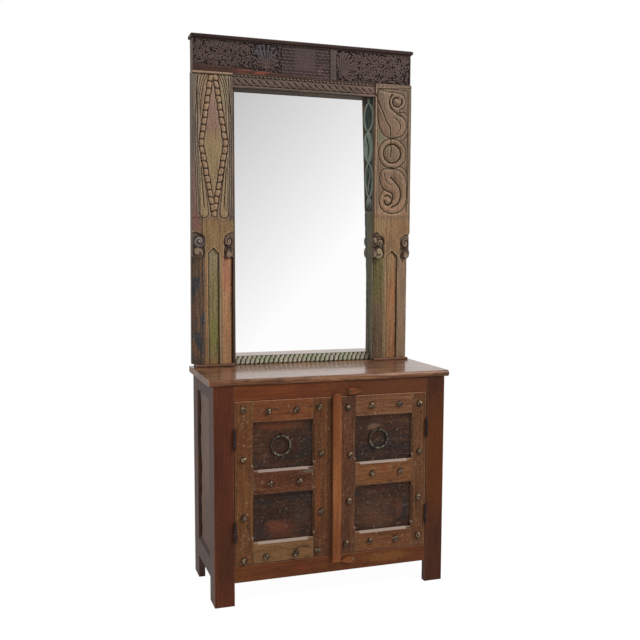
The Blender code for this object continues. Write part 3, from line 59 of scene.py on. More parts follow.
ahead = Vector((math.sin(YAW) * math.cos(PITCH), math.cos(YAW) * math.cos(PITCH), -math.sin(PITCH)))
level = Vector((math.cos(YAW), -math.sin(YAW), 0.0))
above = level.cross(ahead)
across = math.cos(ROLL) * level + math.sin(ROLL) * above
upward = math.cos(ROLL) * above - math.sin(ROLL) * level
camera = bpy.data.objects.new("camera", bpy.data.cameras.new("camera"))
bpy.context.scene.collection.objects.link(camera)
camera.matrix_world = Matrix.Translation(EYE) @ Matrix((across, upward, -ahead)).transposed().to_4x4()
camera.data.sensor_width = FILM
camera.data.lens = LENS_PIXELS / FRAME_PIXELS * FILM
camera.data.shift_x, camera.data.shift_y = LENS_SHIFT
camera.data.clip_start, camera.data.clip_end = 0.05, 60.0
bpy.context.scene.camera = camera
bpy.context.scene.view_settings.view_transform = 'Standard'


def linear(code):
    """A colour written as sRGB hex, turned to linear red, green, blue and 1."""
    channels = [int(code[i:i + 2], 16) / 255 for i in (1, 3, 5)]
    return (*[c / 12.92 if c <= 0.04045 else ((c + 0.055) / 1.055) ** 2.4 for c in channels], 1.0)


def add(tree, kind, inputs=None, **settings):
    """One shader node. Inputs are sockets by name or number: a colour in hex, a plain value, or another
    node's output, which is linked. Settings are the node's own properties; stops fill a colour ramp."""
    node = tree.nodes.new("ShaderNode" + kind)
    for name, value in settings.items():
        if name == "stops":
            ramp = node.color_ramp.elements
            while len(ramp) < len(value):
                ramp.new(1.0)
            for stop, (place, colour) in zip(ramp, value):
                stop.position = place
                stop.color = linear(colour) if isinstance(colour, str) else (*[colour] * 3, 1.0)
        else:
            setattr(node, name, value)
    for name, value in (inputs or {}).items():
        socket = node.inputs[name]
        if isinstance(value, bpy.types.NodeSocket):
            tree.links.new(value, socket)
        else:
            socket.default_value = linear(value) if isinstance(value, str) else value
    return node


def new_material(name):
    """A new material, its tree and its shader, and the object's coordinates to place patterns by."""
    material = bpy.data.materials.new(name)
    material.use_nodes = True
    tree = material.node_tree
    return material, tree, tree.nodes["Principled BSDF"], add(tree, "TexCoord").outputs["Object"]


def new_piece(name, points, faces, material, tint=None):
    """A mesh object in the scene. Tint is a colour for each point, which the material reads."""
    mesh = bpy.data.meshes.new(name)
    mesh.from_pydata(points, [], faces)
    mesh.materials.append(material)
    if tint is not None:
        layer = mesh.color_attributes.new("tint", 'FLOAT_COLOR', 'POINT')
        layer.data.foreach_set("color", np.insert(tint.reshape(-1, 3), 3, 1.0, axis=1).ravel())
    piece = bpy.data.objects.new(name, mesh)
    bpy.context.scene.collection.objects.link(piece)
    return piece


world = bpy.data.worlds.new("surround")
bpy.context.scene.world = world
world.use_nodes = True
tree = world.node_tree
tree.nodes.clear()
seen = add(tree, "LightPath")
white = add(tree, "Math", {0: seen.outputs["Is Camera Ray"], 1: seen.outputs["Is Glossy Ray"]},
            operation='MAXIMUM')
white = add(tree, "Math", {0: white.outputs[0], 1: seen.outputs["Is Transmission Ray"]},
            operation='MAXIMUM')
fill = add(tree, "Background", {"Color": "#FFFFFF", "Strength": 0.42})
blank = add(tree, "Background", {"Color": "#FFFFFF", "Strength": 1.0})
both = add(tree, "MixShader", {0: white.outputs[0], 1: fill.outputs[0], 2: blank.outputs[0]})
add(tree, "OutputWorld", {0: both.outputs[0]})

pale = bpy.data.materials.new("white_floor_paint")
pale.use_nodes = True
tree = pale.node_tree
tree.nodes.clear()
seen = add(tree, "LightPath")
shown = add(tree, "Math", {0: seen.outputs["Is Camera Ray"], 1: seen.outputs["Is Glossy Ray"]},
            operation='MAXIMUM')
share = add(tree, "Math", {0: shown.outputs[0], 1: 0.93}, operation='MULTIPLY')
matt = add(tree, "BsdfDiffuse", {"Color": "#F4F4F4"})
lit = add(tree, "Emission", {"Color": "#FFFFFF", "Strength": 1.05})
both = add(tree, "MixShader", {0: share.outputs[0], 1: matt.outputs[0], 2: lit.outputs[0]})
add(tree, "OutputMaterial", {0: both.outputs[0]})
corners = [(x * FLOOR_REACH, y * FLOOR_REACH, 0) for x, y in ((-1, -1), (1, -1), (1, 1), (-1, 1))]
new_piece("floor", corners, [(0, 1, 2, 3)], pale)

for name, place, size, watts in LAMPS:
    lamp = bpy.data.lights.new(name, 'AREA')
    lamp.size = size
    lamp.energy = watts
    lamp_object = bpy.data.objects.new(name, lamp)
    lamp_object.location = place
    lamp_object.rotation_euler = (LAMP_AIM - Vector(place)).to_track_quat('-Z', 'Y').to_euler()
    bpy.context.scene.collection.objects.link(lamp_object)

# Front legs and rails: planed old teak, stained red-brown and waxed. The mortise-and-tenon frame is
# darkest at the feet and shows fine streaks along the grain and pale scuffs on its arrises.


def old_wood(name, along, shades, seed, streaks=0.45, patches=(), spots=(), dust_and_highlight=None, worn=0.5,
             scuff="#B08A70", scuff_cut=0.66, scratch=0.0, rough=(0.42, 0.65), gloss=0.12, coat=0.0,
             relief=0.35):
    """Old timber whose grain runs along X, Y or Z.

    Colour is a ramp of three shades over broad tone noise and streak noise (8 mm across, 150 mm long),
    darkened by fine pores (1.3 mm). Patches are old paint: (hex, spot size in mm, cut, share); spots
    are stains and painted shadows at a place: (hex, centre, half sizes, share). The wood shows its
    scuff colour where a noise passes scuff_cut, along thin scratches, which are contour lines of
    another noise, and where an edge has worn round. Dust with a highlight is (hex, hex of a rubbed
    arris, height): the dust lies on faces that lean up, and above the height they show the arris
    instead, painted lighter as a highlight. Coat is polish on faces that look up.
    """
    material, tree, shader, at = new_material(name)
    stretch = [0.055 if axis == along else 1.0 for axis in "XYZ"]
    mild = [0.30 if axis == along else 1.0 for axis in "XYZ"]
    shift = (seed * 0.731, seed * 0.417, seed * 0.293)
    lines = add(tree, "Mapping", {"Vector": at, "Location": shift, "Scale": stretch}).outputs[0]
    broad_at = add(tree, "Mapping", {"Vector": at, "Location": shift, "Scale": mild}).outputs[0]
    loose = add(tree, "Mapping", {"Vector": at, "Location": shift}).outputs[0]
    streak = add(tree, "TexNoise", {"Vector": lines, "Scale": 125.0, "Detail": 5.0,
                                    "Roughness": 0.62, "Distortion": 0.4}).outputs[0]
    broad = add(tree, "TexNoise", {"Vector": broad_at, "Scale": 11.0, "Detail": 4.0}).outputs[0]
    pore = add(tree, "TexNoise", {"Vector": lines, "Scale": 760.0, "Detail": 2.0}).outputs[0]
    rub = add(tree, "TexNoise", {"Vector": loose, "Scale": 85.0, "Detail": 9.0,
                                 "Roughness": 0.75}).outputs[0]
    tone = add(tree, "Mix", {0: streaks, 2: broad, 3: streak}, data_type='FLOAT').outputs[0]
    colour = add(tree, "ValToRGB", {0: tone}, stops=[(0.34, shades[0]), (0.50, shades[1]),
                                                     (0.66, shades[2])]).outputs[0]
    for number, (hue, size, cut, part) in enumerate(patches):
        spot = add(tree, "TexNoise", {"Vector": broad_at if number % 2 == 0 else loose,
                                      "Scale": 1000.0 / size, "Detail": 7.0, "Roughness": 0.72,
                                      "Distortion": 0.6 + 0.37 * number}).outputs[0]
        mask = add(tree, "ValToRGB", {0: spot}, stops=[(cut, 0.0), (cut + 0.07, part)]).outputs[0]
        colour = add(tree, "Mix", {0: mask, 6: colour, 7: hue}, data_type='RGBA').outputs[2]
    for hue, centre, half, part in spots:
        off = add(tree, "VectorMath", {0: at, 1: centre}, operation='SUBTRACT').outputs[0]
        off = add(tree, "VectorMath", {0: off, 1: [1 / h if h else 0 for h in half]},
                  operation='MULTIPLY').outputs[0]
        far = add(tree, "VectorMath", {0: off}, operation='LENGTH').outputs["Value"]
        far = add(tree, "Math", {0: rub, 1: 1.6, 2: far}, operation='MULTIPLY_ADD').outputs[0]
        mask = add(tree, "ValToRGB", {0: far}, stops=[(0.0, part), (0.45, 0.0)])
        far = add(tree, "MapRange", {"Value": far, "From Min": 1.2, "From Max": 2.2}).outputs[0]
        tree.links.new(far, mask.inputs[0])
        colour = add(tree, "Mix", {0: mask.outputs[0], 6: colour, 7: hue}, data_type='RGBA').outputs[2]
    dark = add(tree, "ValToRGB", {0: pore}, stops=[(0.33, 0.66), (0.50, 1.0)]).outputs[0]
    colour = add(tree, "Mix", {0: 1.0, 6: colour, 7: dark}, data_type='RGBA',
                 blend_type='MULTIPLY').outputs[2]
    bare = add(tree, "ValToRGB", {0: rub}, stops=[(scuff_cut, 0.0), (scuff_cut + 0.05, 0.55)]).outputs[0]
    colour = add(tree, "Mix", {0: bare, 6: colour, 7: scuff}, data_type='RGBA').outputs[2]
    if scratch:
        wave = add(tree, "TexNoise", {"Vector": loose, "Scale": 34.0, "Detail": 3.0,
                                      "Distortion": 2.2}).outputs[0]
        line = add(tree, "Math", {0: wave, 1: 0.5}, operation='SUBTRACT').outputs[0]
        line = add(tree, "Math", {0: line}, operation='ABSOLUTE').outputs[0]
        line = add(tree, "ValToRGB", {0: line}, stops=[(0.0, scratch), (0.012, 0.0)]).outputs[0]
        line = add(tree, "Math", {0: line, 1: broad}, operation='MULTIPLY').outputs[0]
        colour = add(tree, "Mix", {0: line, 6: colour, 7: scuff}, data_type='RGBA').outputs[2]
    if worn:
        faces = add(tree, "NewGeometry").outputs["Normal"]
        round_edge = add(tree, "Bevel", {"Radius": 0.0035}, samples=4).outputs[0]
        same = add(tree, "VectorMath", {0: faces, 1: round_edge},
                   operation='DOT_PRODUCT').outputs["Value"]
        edge = add(tree, "ValToRGB", {0: same}, stops=[(0.80, 1.0), (0.995, 0.0)]).outputs[0]
        edge = add(tree, "Math", {0: edge, 1: rub}, operation='MULTIPLY').outputs[0]
        edge = add(tree, "Math", {0: edge, 1: worn * 1.7}, operation='MULTIPLY',
                   use_clamp=True).outputs[0]
        colour = add(tree, "Mix", {0: edge, 6: colour, 7: scuff}, data_type='RGBA').outputs[2]
    if dust_and_highlight:
        settled, arris, arris_from = dust_and_highlight
        up = add(tree, "SeparateXYZ", {0: add(tree, "TexCoord").outputs["Normal"]}).outputs[2]
        up = add(tree, "Math", {0: up, 1: 0.5}, operation='MULTIPLY').outputs[0]
        up = add(tree, "Math", {0: rub, 1: 0.12, 2: up}, operation='MULTIPLY_ADD').outputs[0]
        lying = add(tree, "ValToRGB", {0: up}, stops=[(0.30, 0.0), (0.38, 0.80), (0.48, 0.80),
                                                      (0.52, 0.15)]).outputs[0]
        # above the height the faces take the arris colour: a rubbed arris, painted lighter as a
        # highlight
        high = add(tree, "SeparateXYZ", {0: at}).outputs[2]
        high = add(tree, "Math", {0: high, 1: arris_from}, operation='GREATER_THAN').outputs[0]
        top_colour = add(tree, "Mix", {0: high, 6: settled, 7: arris}, data_type='RGBA').outputs[2]
        colour = add(tree, "Mix", {0: lying, 6: colour, 7: top_colour}, data_type='RGBA').outputs[2]
    tree.links.new(colour, shader.inputs["Base Color"])
    polish = add(tree, "MapRange", {"Value": tone, "From Min": 0.3, "From Max": 0.7,
                                    "To Min": rough[0], "To Max": rough[1]}).outputs[0]
    tree.links.new(polish, shader.inputs["Roughness"])
    height = add(tree, "Math", {0: streak, 1: pore}, operation='ADD').outputs[0]
    height = add(tree, "Math", {0: height, 1: rub}, operation='ADD').outputs[0]
    bump = add(tree, "Bump", {"Height": height, "Strength": relief, "Distance": 0.0012}).outputs[0]
    tree.links.new(bump, shader.inputs["Normal"])
    shader.inputs["Specular IOR Level"].default_value = gloss
    if coat:
        up = add(tree, "SeparateXYZ", {0: add(tree, "TexCoord").outputs["Normal"]}).outputs[2]
        polish = add(tree, "MapRange", {"Value": up, "From Min": 0.5, "To Max": coat}).outputs[0]
        tree.links.new(polish, shader.inputs["Coat Weight"])
        shader.inputs["Coat Roughness"].default_value = 0.12
    return material


def dress(material, *names):
    """Give CAD nodes their material, in place of the plain ones in their slots."""
    for name in names:
        slots = nodes[name].data.materials
        for number in range(len(slots)):
            slots[number] = material


def spot_at(hue, x, z, wide, high, part, y=0, deep=0):
    """A spot for old_wood: its colour, middle, half sizes and share. A half size of 0 sets no bound, so
    on a board that faces the front only x and z count."""
    return hue, (x, y, z), (wide, deep, high), part


dress(old_wood("teak_left_leg", 'Z', ("#462115", "#562B19", "#67361E"), 1,
               spots=(spot_at("#402215", -0.413, 0.17, 0.05, 0.20, 0.6),)), "front_left_leg")
dress(old_wood("teak_right_leg", 'Z', ("#371C10", "#472515", "#582F1B"), 2,
               spots=(spot_at("#63340F", 0.417, 0.48, 0.10, 0.34, 0.6),)), "front_right_leg")
dress(old_wood("teak_top_rail", 'X', ("#5D2D17", "#763F1F", "#8C4D26"), 3, worn=0.3,
               spots=(spot_at("#4C2816", -0.34, 0.78, 0.07, 0.04, 0.3),
                      spot_at("#4E2E1D", 0.26, 0.78, 0.45, 0, 0.7))), "front_top_rail")
dress(old_wood("teak_bottom_rail", 'X', ("#4F2814", "#64361B", "#784824"), 4,
               spots=(spot_at("#753421", -0.12, 0.115, 0.06, 0.02, 0.5),
                      spot_at("#825329", 0.22, 0.12, 0.13, 0.03, 0.6))), "front_bottom_rail")

# Sides: upright boards of unpainted hardwood, grey-brown and dull, held in grooves between a narrow
# stile behind each front leg and the wide back leg. The left one's back edge is broken.
side = old_wood("weathered_side_board", 'Z', ("#5C463D", "#725A4E", "#8B7160"), 5, rough=(0.55, 0.8),
                patches=(("#7C5544", 60, 0.56, 0.6), ("#4B3C39", 40, 0.60, 0.5)),
                spots=(spot_at("#8E786C", 0, 0.62, 0, 0.34, 0.45),))
side_frame = old_wood("weathered_side_frame", 'Z', ("#43322C", "#5C4740", "#755F54"), 6,
                      rough=(0.5, 0.75), patches=(("#6A4636", 80, 0.56, 0.7),))
side_rail = old_wood("weathered_side_rail", 'Y', ("#3E2C26", "#56423A", "#6E584C"), 7,
                     rough=(0.5, 0.75))
for word in ("left", "right"):
    dress(side, word + "_side_panel")
    dress(side_frame, word + "_side_stile", "back_" + word + "_leg")
    dress(side_rail, word + "_side_top_rail", word + "_side_bottom_rail")

# Back and inside: sawn mango boards, never painted, only dusty.
inside = old_wood("sawn_mango_board", 'X', ("#5A3E2A", "#77563A", "#90704E"), 8,
                  rough=(0.6, 0.85), worn=0.2)
back = old_wood("sawn_mango_back", 'Z', ("#553A28", "#705038", "#886A4C"), 9,
                rough=(0.6, 0.85), worn=0.2)
dress(inside, "bottom_board", "shelf", "back_top_rail", "back_bottom_rail")
dress(back, "back_panel", "mirror_backboard")

# Doors: old panelled shutters. Frame boards of worn brown teak with rubbed edges, chamfered towards
# the panels where pale dust has settled; dark panels with scraped-off layers of paint.
DUST_AND_HIGHLIGHT = ("#A8968C", "#B47656", 0.74)   # settled dust, and the doors' top arris: rubbed, and painted lighter as a highlight
DOOR_BOARDS = {                # grain, shades, seed, stains
    "left_door_hinge_stile": ('Z', ("#522E18", "#684022", "#7D532D"), 11,
                              (spot_at("#5E321B", -0.34, 0.60, 0.05, 0.12, 0.6),)),
    "left_door_meeting_stile": ('Z', ("#462613", "#5C351C", "#714628"), 12,
                                (spot_at("#764021", -0.06, 0.36, 0.014, 0.14, 0.8),)),
    "left_door_top_rail": ('X', ("#5B321B", "#764325", "#8D5932"), 13, ()),
    "left_door_mid_rail": ('X', ("#3F2012", "#562D1A", "#6A3F28"), 14,
                           (spot_at("#666152", -0.10, 0.48, 0.03, 0.012, 0.7),)),
    "left_door_bottom_rail": ('X', ("#5E3E24", "#7A5736", "#957151"), 15, ()),
    "right_door_hinge_stile": ('Z', ("#472918", "#5F3A22", "#754F30"), 16, ()),
    "right_door_meeting_stile": ('Z', ("#3E2216", "#54311E", "#6C422B"), 17,
                                 (spot_at("#66402D", 0.03, 0.66, 0.03, 0.08, 0.6),)),
    "right_door_top_rail": ('X', ("#54331E", "#6F472D", "#885E40"), 18, ()),
    "right_door_mid_rail": ('X', ("#52321B", "#724628", "#8C6039"), 19,
                            (spot_at("#713420", 0.20, 0.47, 0.03, 0.02, 0.6),)),
    "right_door_bottom_rail": ('X', ("#4C2A17", "#6D4225", "#865835"), 20, ()),
}
for name, (along, shades, seed, spots) in DOOR_BOARDS.items():
    wood = old_wood("shutter_teak_" + name, along, shades, seed, streaks=0.66, spots=spots, dust_and_highlight=DUST_AND_HIGHLIGHT,
                    worn=0.6, scuff="#B89A7C", scuff_cut=0.60, scratch=0.6, relief=0.5,
                    patches=(("#35231A", 22, 0.57, 0.75), ("#967458", 9, 0.63, 0.45)))
    dress(wood, name)
ON_PANEL = {"y": -0.1827, "deep": 0.004}   # a panel's front, and how deep a spot goes in
SHADOW_UNDER_TOP_RAIL, SHADOW_UNDER_MID_RAIL = 0.692, 0.424   # z of the painted shadow lines under the rails, where the panel goes up behind them
PANELS = {                     # shades, seed, scuff colour, scratches, patches, stains and painted shadows
    "left": (("#2A1810", "#43271A", "#5E3D2B"), 21, "#8A7A66", 0.8,
             (("#2B221F", 60, 0.50, 0.7), ("#6A4E38", 9, 0.58, 0.5),
              ("#241B18", 16, 0.60, 0.6), ("#7C6E60", 5, 0.62, 0.55)),
             (("#663823", -0.20, 0.655, 0.13, 0.030, 0.8),
              ("#7A422C", -0.236, 0.290, 0.034, 0.020, 0.45),
              ("#7A422C", -0.212, 0.278, 0.052, 0.034, 0.40),
              ("#6E3A28", -0.195, 0.268, 0.085, 0.050, 0.40),
              ("#584638", -0.125, 0.320, 0.045, 0.060, 0.35),
              ("#292223", -0.255, 0.37, 0.045, 0.022, 0.8),
              # the next two are painted shadows under the top and the middle rail
              ("#160E0B", -0.193, SHADOW_UNDER_TOP_RAIL, 0.16, 0.020, 0.95),
              ("#160E0B", -0.193, SHADOW_UNDER_MID_RAIL, 0.16, 0.020, 0.95),
              ("#29261E", -0.10, 0.56, 0.05, 0.05, 0.6),
              ("#1C120C", -0.150, 0.525, 0.14, 0.070, 0.4),
              ("#1E1410", -0.193, 0.365, 0.35, 0.100, 0.4))),
    "right": (("#261611", "#3D2518", "#563522"), 31, "#8E7E6C", 0.75,
              (("#272020", 50, 0.52, 0.7), ("#5E3022", 70, 0.60, 0.5),
               ("#211816", 16, 0.60, 0.6), ("#74604E", 6, 0.61, 0.5)),
              # the next two are painted shadows under the top and the middle rail
              (("#160E0B", 0.193, SHADOW_UNDER_TOP_RAIL, 0.16, 0.020, 0.95),
               ("#160E0B", 0.193, SHADOW_UNDER_MID_RAIL, 0.16, 0.020, 0.95),
               ("#272320", 0.295, 0.30, 0.020, 0.060, 0.9),
               ("#5E3428", 0.27, 0.30, 0.025, 0.05, 0.5),
               ("#7C604B", 0.165, 0.625, 0.040, 0.018, 0.6),
               ("#1E1A1C", 0.205, 0.525, 0.30, 0.070, 0.5),
               ("#6A4630", 0.185, 0.265, 0.09, 0.050, 0.4),
               ("#573F2E", 0.17, 0.32, 0.09, 0.05, 0.30))),
}
for word, (shades, seed, scuff, scratch, patches, stains_and_shadows) in PANELS.items():
    spots = [spot_at(*values, **ON_PANEL) for values in stains_and_shadows]
    wood = old_wood("scraped_paint_" + word + "_panel", 'X', shades, seed, streaks=0.6, worn=0.0,
                    scuff=scuff, scuff_cut=0.59, scratch=scratch, patches=patches, spots=spots)
    dress(wood, word + "_door_panel")

# Centre strip: a rounded batten of newer wood nailed over the meeting gap, and two leaf-shaped buttons
# of the same wood, cut out by hand and oiled.
strip = old_wood("oiled_sheesham_strip", 'Z', ("#65361C", "#7F4928", "#955E37"), 22, scuff="#A9744E")
button = old_wood("oiled_sheesham_button", 'X', ("#58301B", "#784325", "#935A31"), 23,
                  scuff="#AD7851", worn=0.7)
dress(strip, "centre_strip")
dress(button, "top_turn_button", "bottom_turn_button")

# Ironwork: hand-forged hinges and staples, blackened, rubbed bright on the high spots and rusted brown
# in the low ones. The staples go through the panels and are clinched behind.


def forged_iron(name, dark, bright, seed, rough=(0.28, 0.60)):
    """Blackened iron: rust, dark scale and rubbed metal mixed by a noise of 12 mm, and roughness and
    relief by one of 3 mm. The seed changes the first noise's size a little."""
    material, tree, shader, at = new_material(name)
    spots = add(tree, "TexNoise", {"Vector": at, "Scale": 83.0 + seed, "Detail": 6.0}).outputs[0]
    fine = add(tree, "TexNoise", {"Vector": at, "Scale": 330.0, "Detail": 6.0}).outputs[0]
    colour = add(tree, "ValToRGB", {0: spots}, stops=[(0.36, "#2E2018"), (0.50, dark),
                                                      (0.66, bright)]).outputs[0]
    tree.links.new(colour, shader.inputs["Base Color"])
    polish = add(tree, "MapRange", {"Value": fine, "To Min": rough[0], "To Max": rough[1]}).outputs[0]
    tree.links.new(polish, shader.inputs["Roughness"])
    bump = add(tree, "Bump", {"Height": fine, "Strength": 0.5, "Distance": 0.0006}).outputs[0]
    tree.links.new(bump, shader.inputs["Normal"])
    shader.inputs["Metallic"].default_value = 0.7
    return material


pull_iron = forged_iron("forged_iron_pull", "#403B33", "#766D5B", 0)
stud_iron = forged_iron("forged_iron_stud", "#453527", "#8A7456", 5, rough=(0.24, 0.55))
hinge_iron = forged_iron("forged_iron_hinge", "#2C1C1C", "#463030", 3, rough=(0.5, 0.8))
dress(pull_iron, "left_ring_eye", "right_ring_eye", "top_turn_button_screw", "bottom_turn_button_screw")
dress(hinge_iron, *[name for name in nodes if "_hinge_" in name and name.endswith("_leaf")])


def wander(a, b, size, seed, waves=9):
    """Smooth noise, mostly from -1 to 1: the mean of sine waves of about one size in random directions,
    times 1.6."""
    chance = np.random.default_rng(seed)
    total = np.zeros(np.broadcast(a, b).shape)
    for _ in range(waves):
        angle = chance.uniform(0, 2 * np.pi)
        rate = 2 * np.pi / (size * chance.uniform(0.6, 1.6))
        total += np.sin(rate * (np.cos(angle) * a + np.sin(angle) * b) + chance.uniform(0, 2 * np.pi))
    return total / waves * 1.6


def shells(name, rings, material, body, loop=False, tint=None):
    """One mesh of several shells. Each is an array of rings x points x 3, joined ring to ring and round
    each ring; the end rings are closed by a face, or joined to each other when loop is true."""
    points, faces = [], []
    start = 0
    for shell in rings:
        count, around = shell.shape[:2]
        number = start + np.arange(count * around).reshape(count, around)
        if loop:
            number = np.vstack([number, number[:1]])
        turned = np.roll(number, -1, axis=1)
        faces += np.stack([number[:-1], turned[:-1], turned[1:], number[1:]], 2).reshape(-1, 4).tolist()
        if not loop:
            faces += [number[0, ::-1].tolist(), number[-1].tolist()]
        points.append(shell.reshape(-1, 3))
        start += count * around
    piece = new_piece(name, np.vstack(points), faces, material, tint)
    form = bmesh.new()
    form.from_mesh(piece.data)
    bmesh.ops.recalc_face_normals(form, faces=form.faces)
    form.to_mesh(piece.data)
    form.free()
    piece.data.shade_smooth()
    piece.data.set_sharp_from_angle(angle=math.radians(50))
    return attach(piece, body)


# Studs: domed heads of hand-made nails, each one a little out of round and dented by the hammer. Their
# shanks go through the shutters' boards.
STUD_RADIUS, STUD_RISE = 0.0124, 0.0108
BOARD_FACE = -0.195            # y of the doors' front
STUD_LIP, STUD_BITE = 0.0002, 0.0012   # a dome's edge and its rim, behind that front
LEFT_STUDS = ((-0.342, 0.7191), (-0.342, 0.5377), (-0.342, 0.3235), (-0.342, 0.1649), (-0.056, 0.7149),
              (-0.048, 0.5407), (-0.049, 0.3217), (-0.061, 0.175), (-0.2491, 0.709), (-0.144, 0.709),
              (-0.242, 0.4429), (-0.1319, 0.4429), (-0.26, 0.1718), (-0.146, 0.1718))
RIGHT_STUDS = ((0.347, 0.7059), (0.347, 0.5198), (0.347, 0.3414), (0.347, 0.1906), (0.056, 0.7077),
               (0.066, 0.5276), (0.061, 0.351), (0.051, 0.1894), (0.15, 0.709), (0.2631, 0.709),
               (0.1546, 0.4494), (0.2691, 0.4494), (0.147, 0.1867), (0.251, 0.1867))
for word, places in (("left", LEFT_STUDS), ("right", RIGHT_STUDS)):
    domes = []
    angle = np.linspace(0, 2 * np.pi, 28, endpoint=False)[None, :]
    lift = np.radians(np.array([86, 74, 60, 46, 32, 18, 6, 0]))[:, None]
    for number, (sx, sz) in enumerate(places):
        dent = wander(np.cos(angle) * 2 + number, np.sin(angle) * 2 + lift * 2, 2.2, number + 40)
        radius = STUD_RADIUS * np.cos(lift) * (1 + 0.035 * dent)
        drop = STUD_RISE * np.sin(lift) * (1 + 0.02 * np.cos(angle + number))
        dome = np.stack([sx + radius * np.cos(angle), BOARD_FACE + STUD_LIP - drop,
                         sz + radius * np.sin(angle)], 2)
        rim = dome[-1:].copy()
        rim[..., 1] = BOARD_FACE + STUD_BITE
        domes.append(np.concatenate([dome, rim]))
    shells(word + "_door_studs", domes, stud_iron, word + "_door")

# Ring pulls: iron rod bent round, welded and filed, thicker at the bottom where the hand has not worn
# it. They hang in the staples.
RING_ROUND, RING_ROD = 0.0355, 0.0038   # radius of the ring and of its rod
RING_Y, RING_Z = -0.1872, 0.5791
for word, middle in (("left", -0.2010), ("right", 0.1820)):
    turn = np.linspace(0, 2 * np.pi, 96, endpoint=False)[:, None]
    slice_angle = np.linspace(0, 2 * np.pi, 14, endpoint=False)[None, :]
    uneven = wander(turn, slice_angle, 1.3, 50 + (word == "left"))
    rod = RING_ROD * (1 - 0.06 * np.cos(turn) + 0.05 * uneven)
    reach = RING_ROUND + rod * np.cos(slice_angle)
    hoop = np.stack([middle + reach * np.sin(turn), RING_Y + rod * np.sin(slice_angle),
                     RING_Z + reach * np.cos(turn)], 2)
    ring = shells(word + "_ring_pull", [hoop], pull_iron, word + "_ring", loop=True)
    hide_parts(word + "_ring")

# Tabletop: two planks of the same teak, sanded and French polished, so that they mirror the posts. The
# front edge is rubbed to a lighter orange-brown.
top = old_wood("polished_teak_top", 'X', ("#42291C", "#784F37", "#9E7352"), 10, streaks=0.72,
               worn=0.7, scuff="#B07C4C", scuff_cut=0.72, rough=(0.34, 0.5), coat=0.60, relief=0.12,
               patches=(("#482E20", 62, 0.50, 0.70), ("#5E463A", 110, 0.58, 0.45),
                        ("#A27A58", 48, 0.57, 0.65)))
dress(top, "tabletop_front_plank", "tabletop_back_plank")

# Mirror: silvered float glass between the jambs. Its colour is painted brightest low on the right and
# greyer towards the upper left: painted shade in its reflection.
REFLECTION_SHADE_LEAN = (-1.06, 0.0, 1.0)   # the way the painted shade grows, in metres along each axis
mirror, tree, shader, at = new_material("silvered_glass")
slant = add(tree, "VectorMath", {0: at, 1: REFLECTION_SHADE_LEAN}, operation='DOT_PRODUCT').outputs["Value"]
reflection_shade = add(tree, "MapRange", {"Value": slant, "From Min": 1.10, "From Max": 2.20}).outputs[0]
tint = add(tree, "ValToRGB", {0: reflection_shade}, stops=[(0.0, "#FDFDFD"), (1.0, "#C4C4C4")]).outputs[0]
tree.links.new(tint, shader.inputs["Base Color"])
shader.inputs["Metallic"].default_value = 1.0
shader.inputs["Roughness"].default_value = 0.02
dress(mirror, "mirror_glass")

# Posts: carved house pillars sawn in half. The left one has two chains of blocks and long tongues; the
# right one two scrolls and a ring. Below the scroll brackets a canted shaft has a pointed recess. Old
# paint has worn to grey-green, ochre and orange over brown wood. Every cut is darkened with dirt and
# painted shade, and the crests are lighter, rubbed and with a painted highlight.


def smooth(low, high, value):
    """0 below low, 1 above high, and a soft step between."""
    t = np.clip((value - low) / (high - low), 0, 1)
    return t * t * (3 - 2 * t)


def curve(*points, steps=14):
    """A smooth path through points: cubic pieces whose tangents follow their neighbours."""
    p = np.array([points[0], *points, points[-1]], float)
    t = np.linspace(0, 1, steps, endpoint=False)[:, None]
    a, b, c, d = p[:-3, None], p[1:-2, None], p[2:-1, None], p[3:, None]
    path = 0.5 * (2 * b + (c - a) * t + (2 * a - 5 * b + 4 * c - d) * t ** 2
                  + (3 * b - a - 3 * c + d) * t ** 3)
    return np.vstack([path.reshape(-1, 2), p[-1:]])


def spiral(centre, first, last, start, turns, steps=60):
    """A path that grows evenly from radius first to last, from an angle in degrees, over some turns."""
    t = np.linspace(0, 1, steps)
    angle = np.radians(start) + 2 * np.pi * turns * t
    radius = first + (last - first) * t
    return np.stack([centre[0] + radius * np.cos(angle), centre[1] + radius * np.sin(angle)], 1)


def away(x, z, path):
    """Distance of every grid point from a path of straight pieces."""
    best = np.full(x.shape, 9.0)
    for (ax, az), (bx, bz) in zip(path[:-1], path[1:]):
        dx, dz = bx - ax, bz - az
        t = np.clip(((x - ax) * dx + (z - az) * dz) / (dx * dx + dz * dz + 1e-12), 0, 1)
        best = np.minimum(best, np.hypot(x - ax - t * dx, z - az - t * dz))
    return best


def tinted(base, *layers):
    """Colours laid over a base colour: each layer is (hex, mask from 0 to 1)."""
    tint = np.array(linear(base)[:3])
    for hue, mask in layers:
        tint = tint + (np.array(linear(hue)[:3]) - tint) * np.clip(mask, 0, 1)[..., None]
    return tint


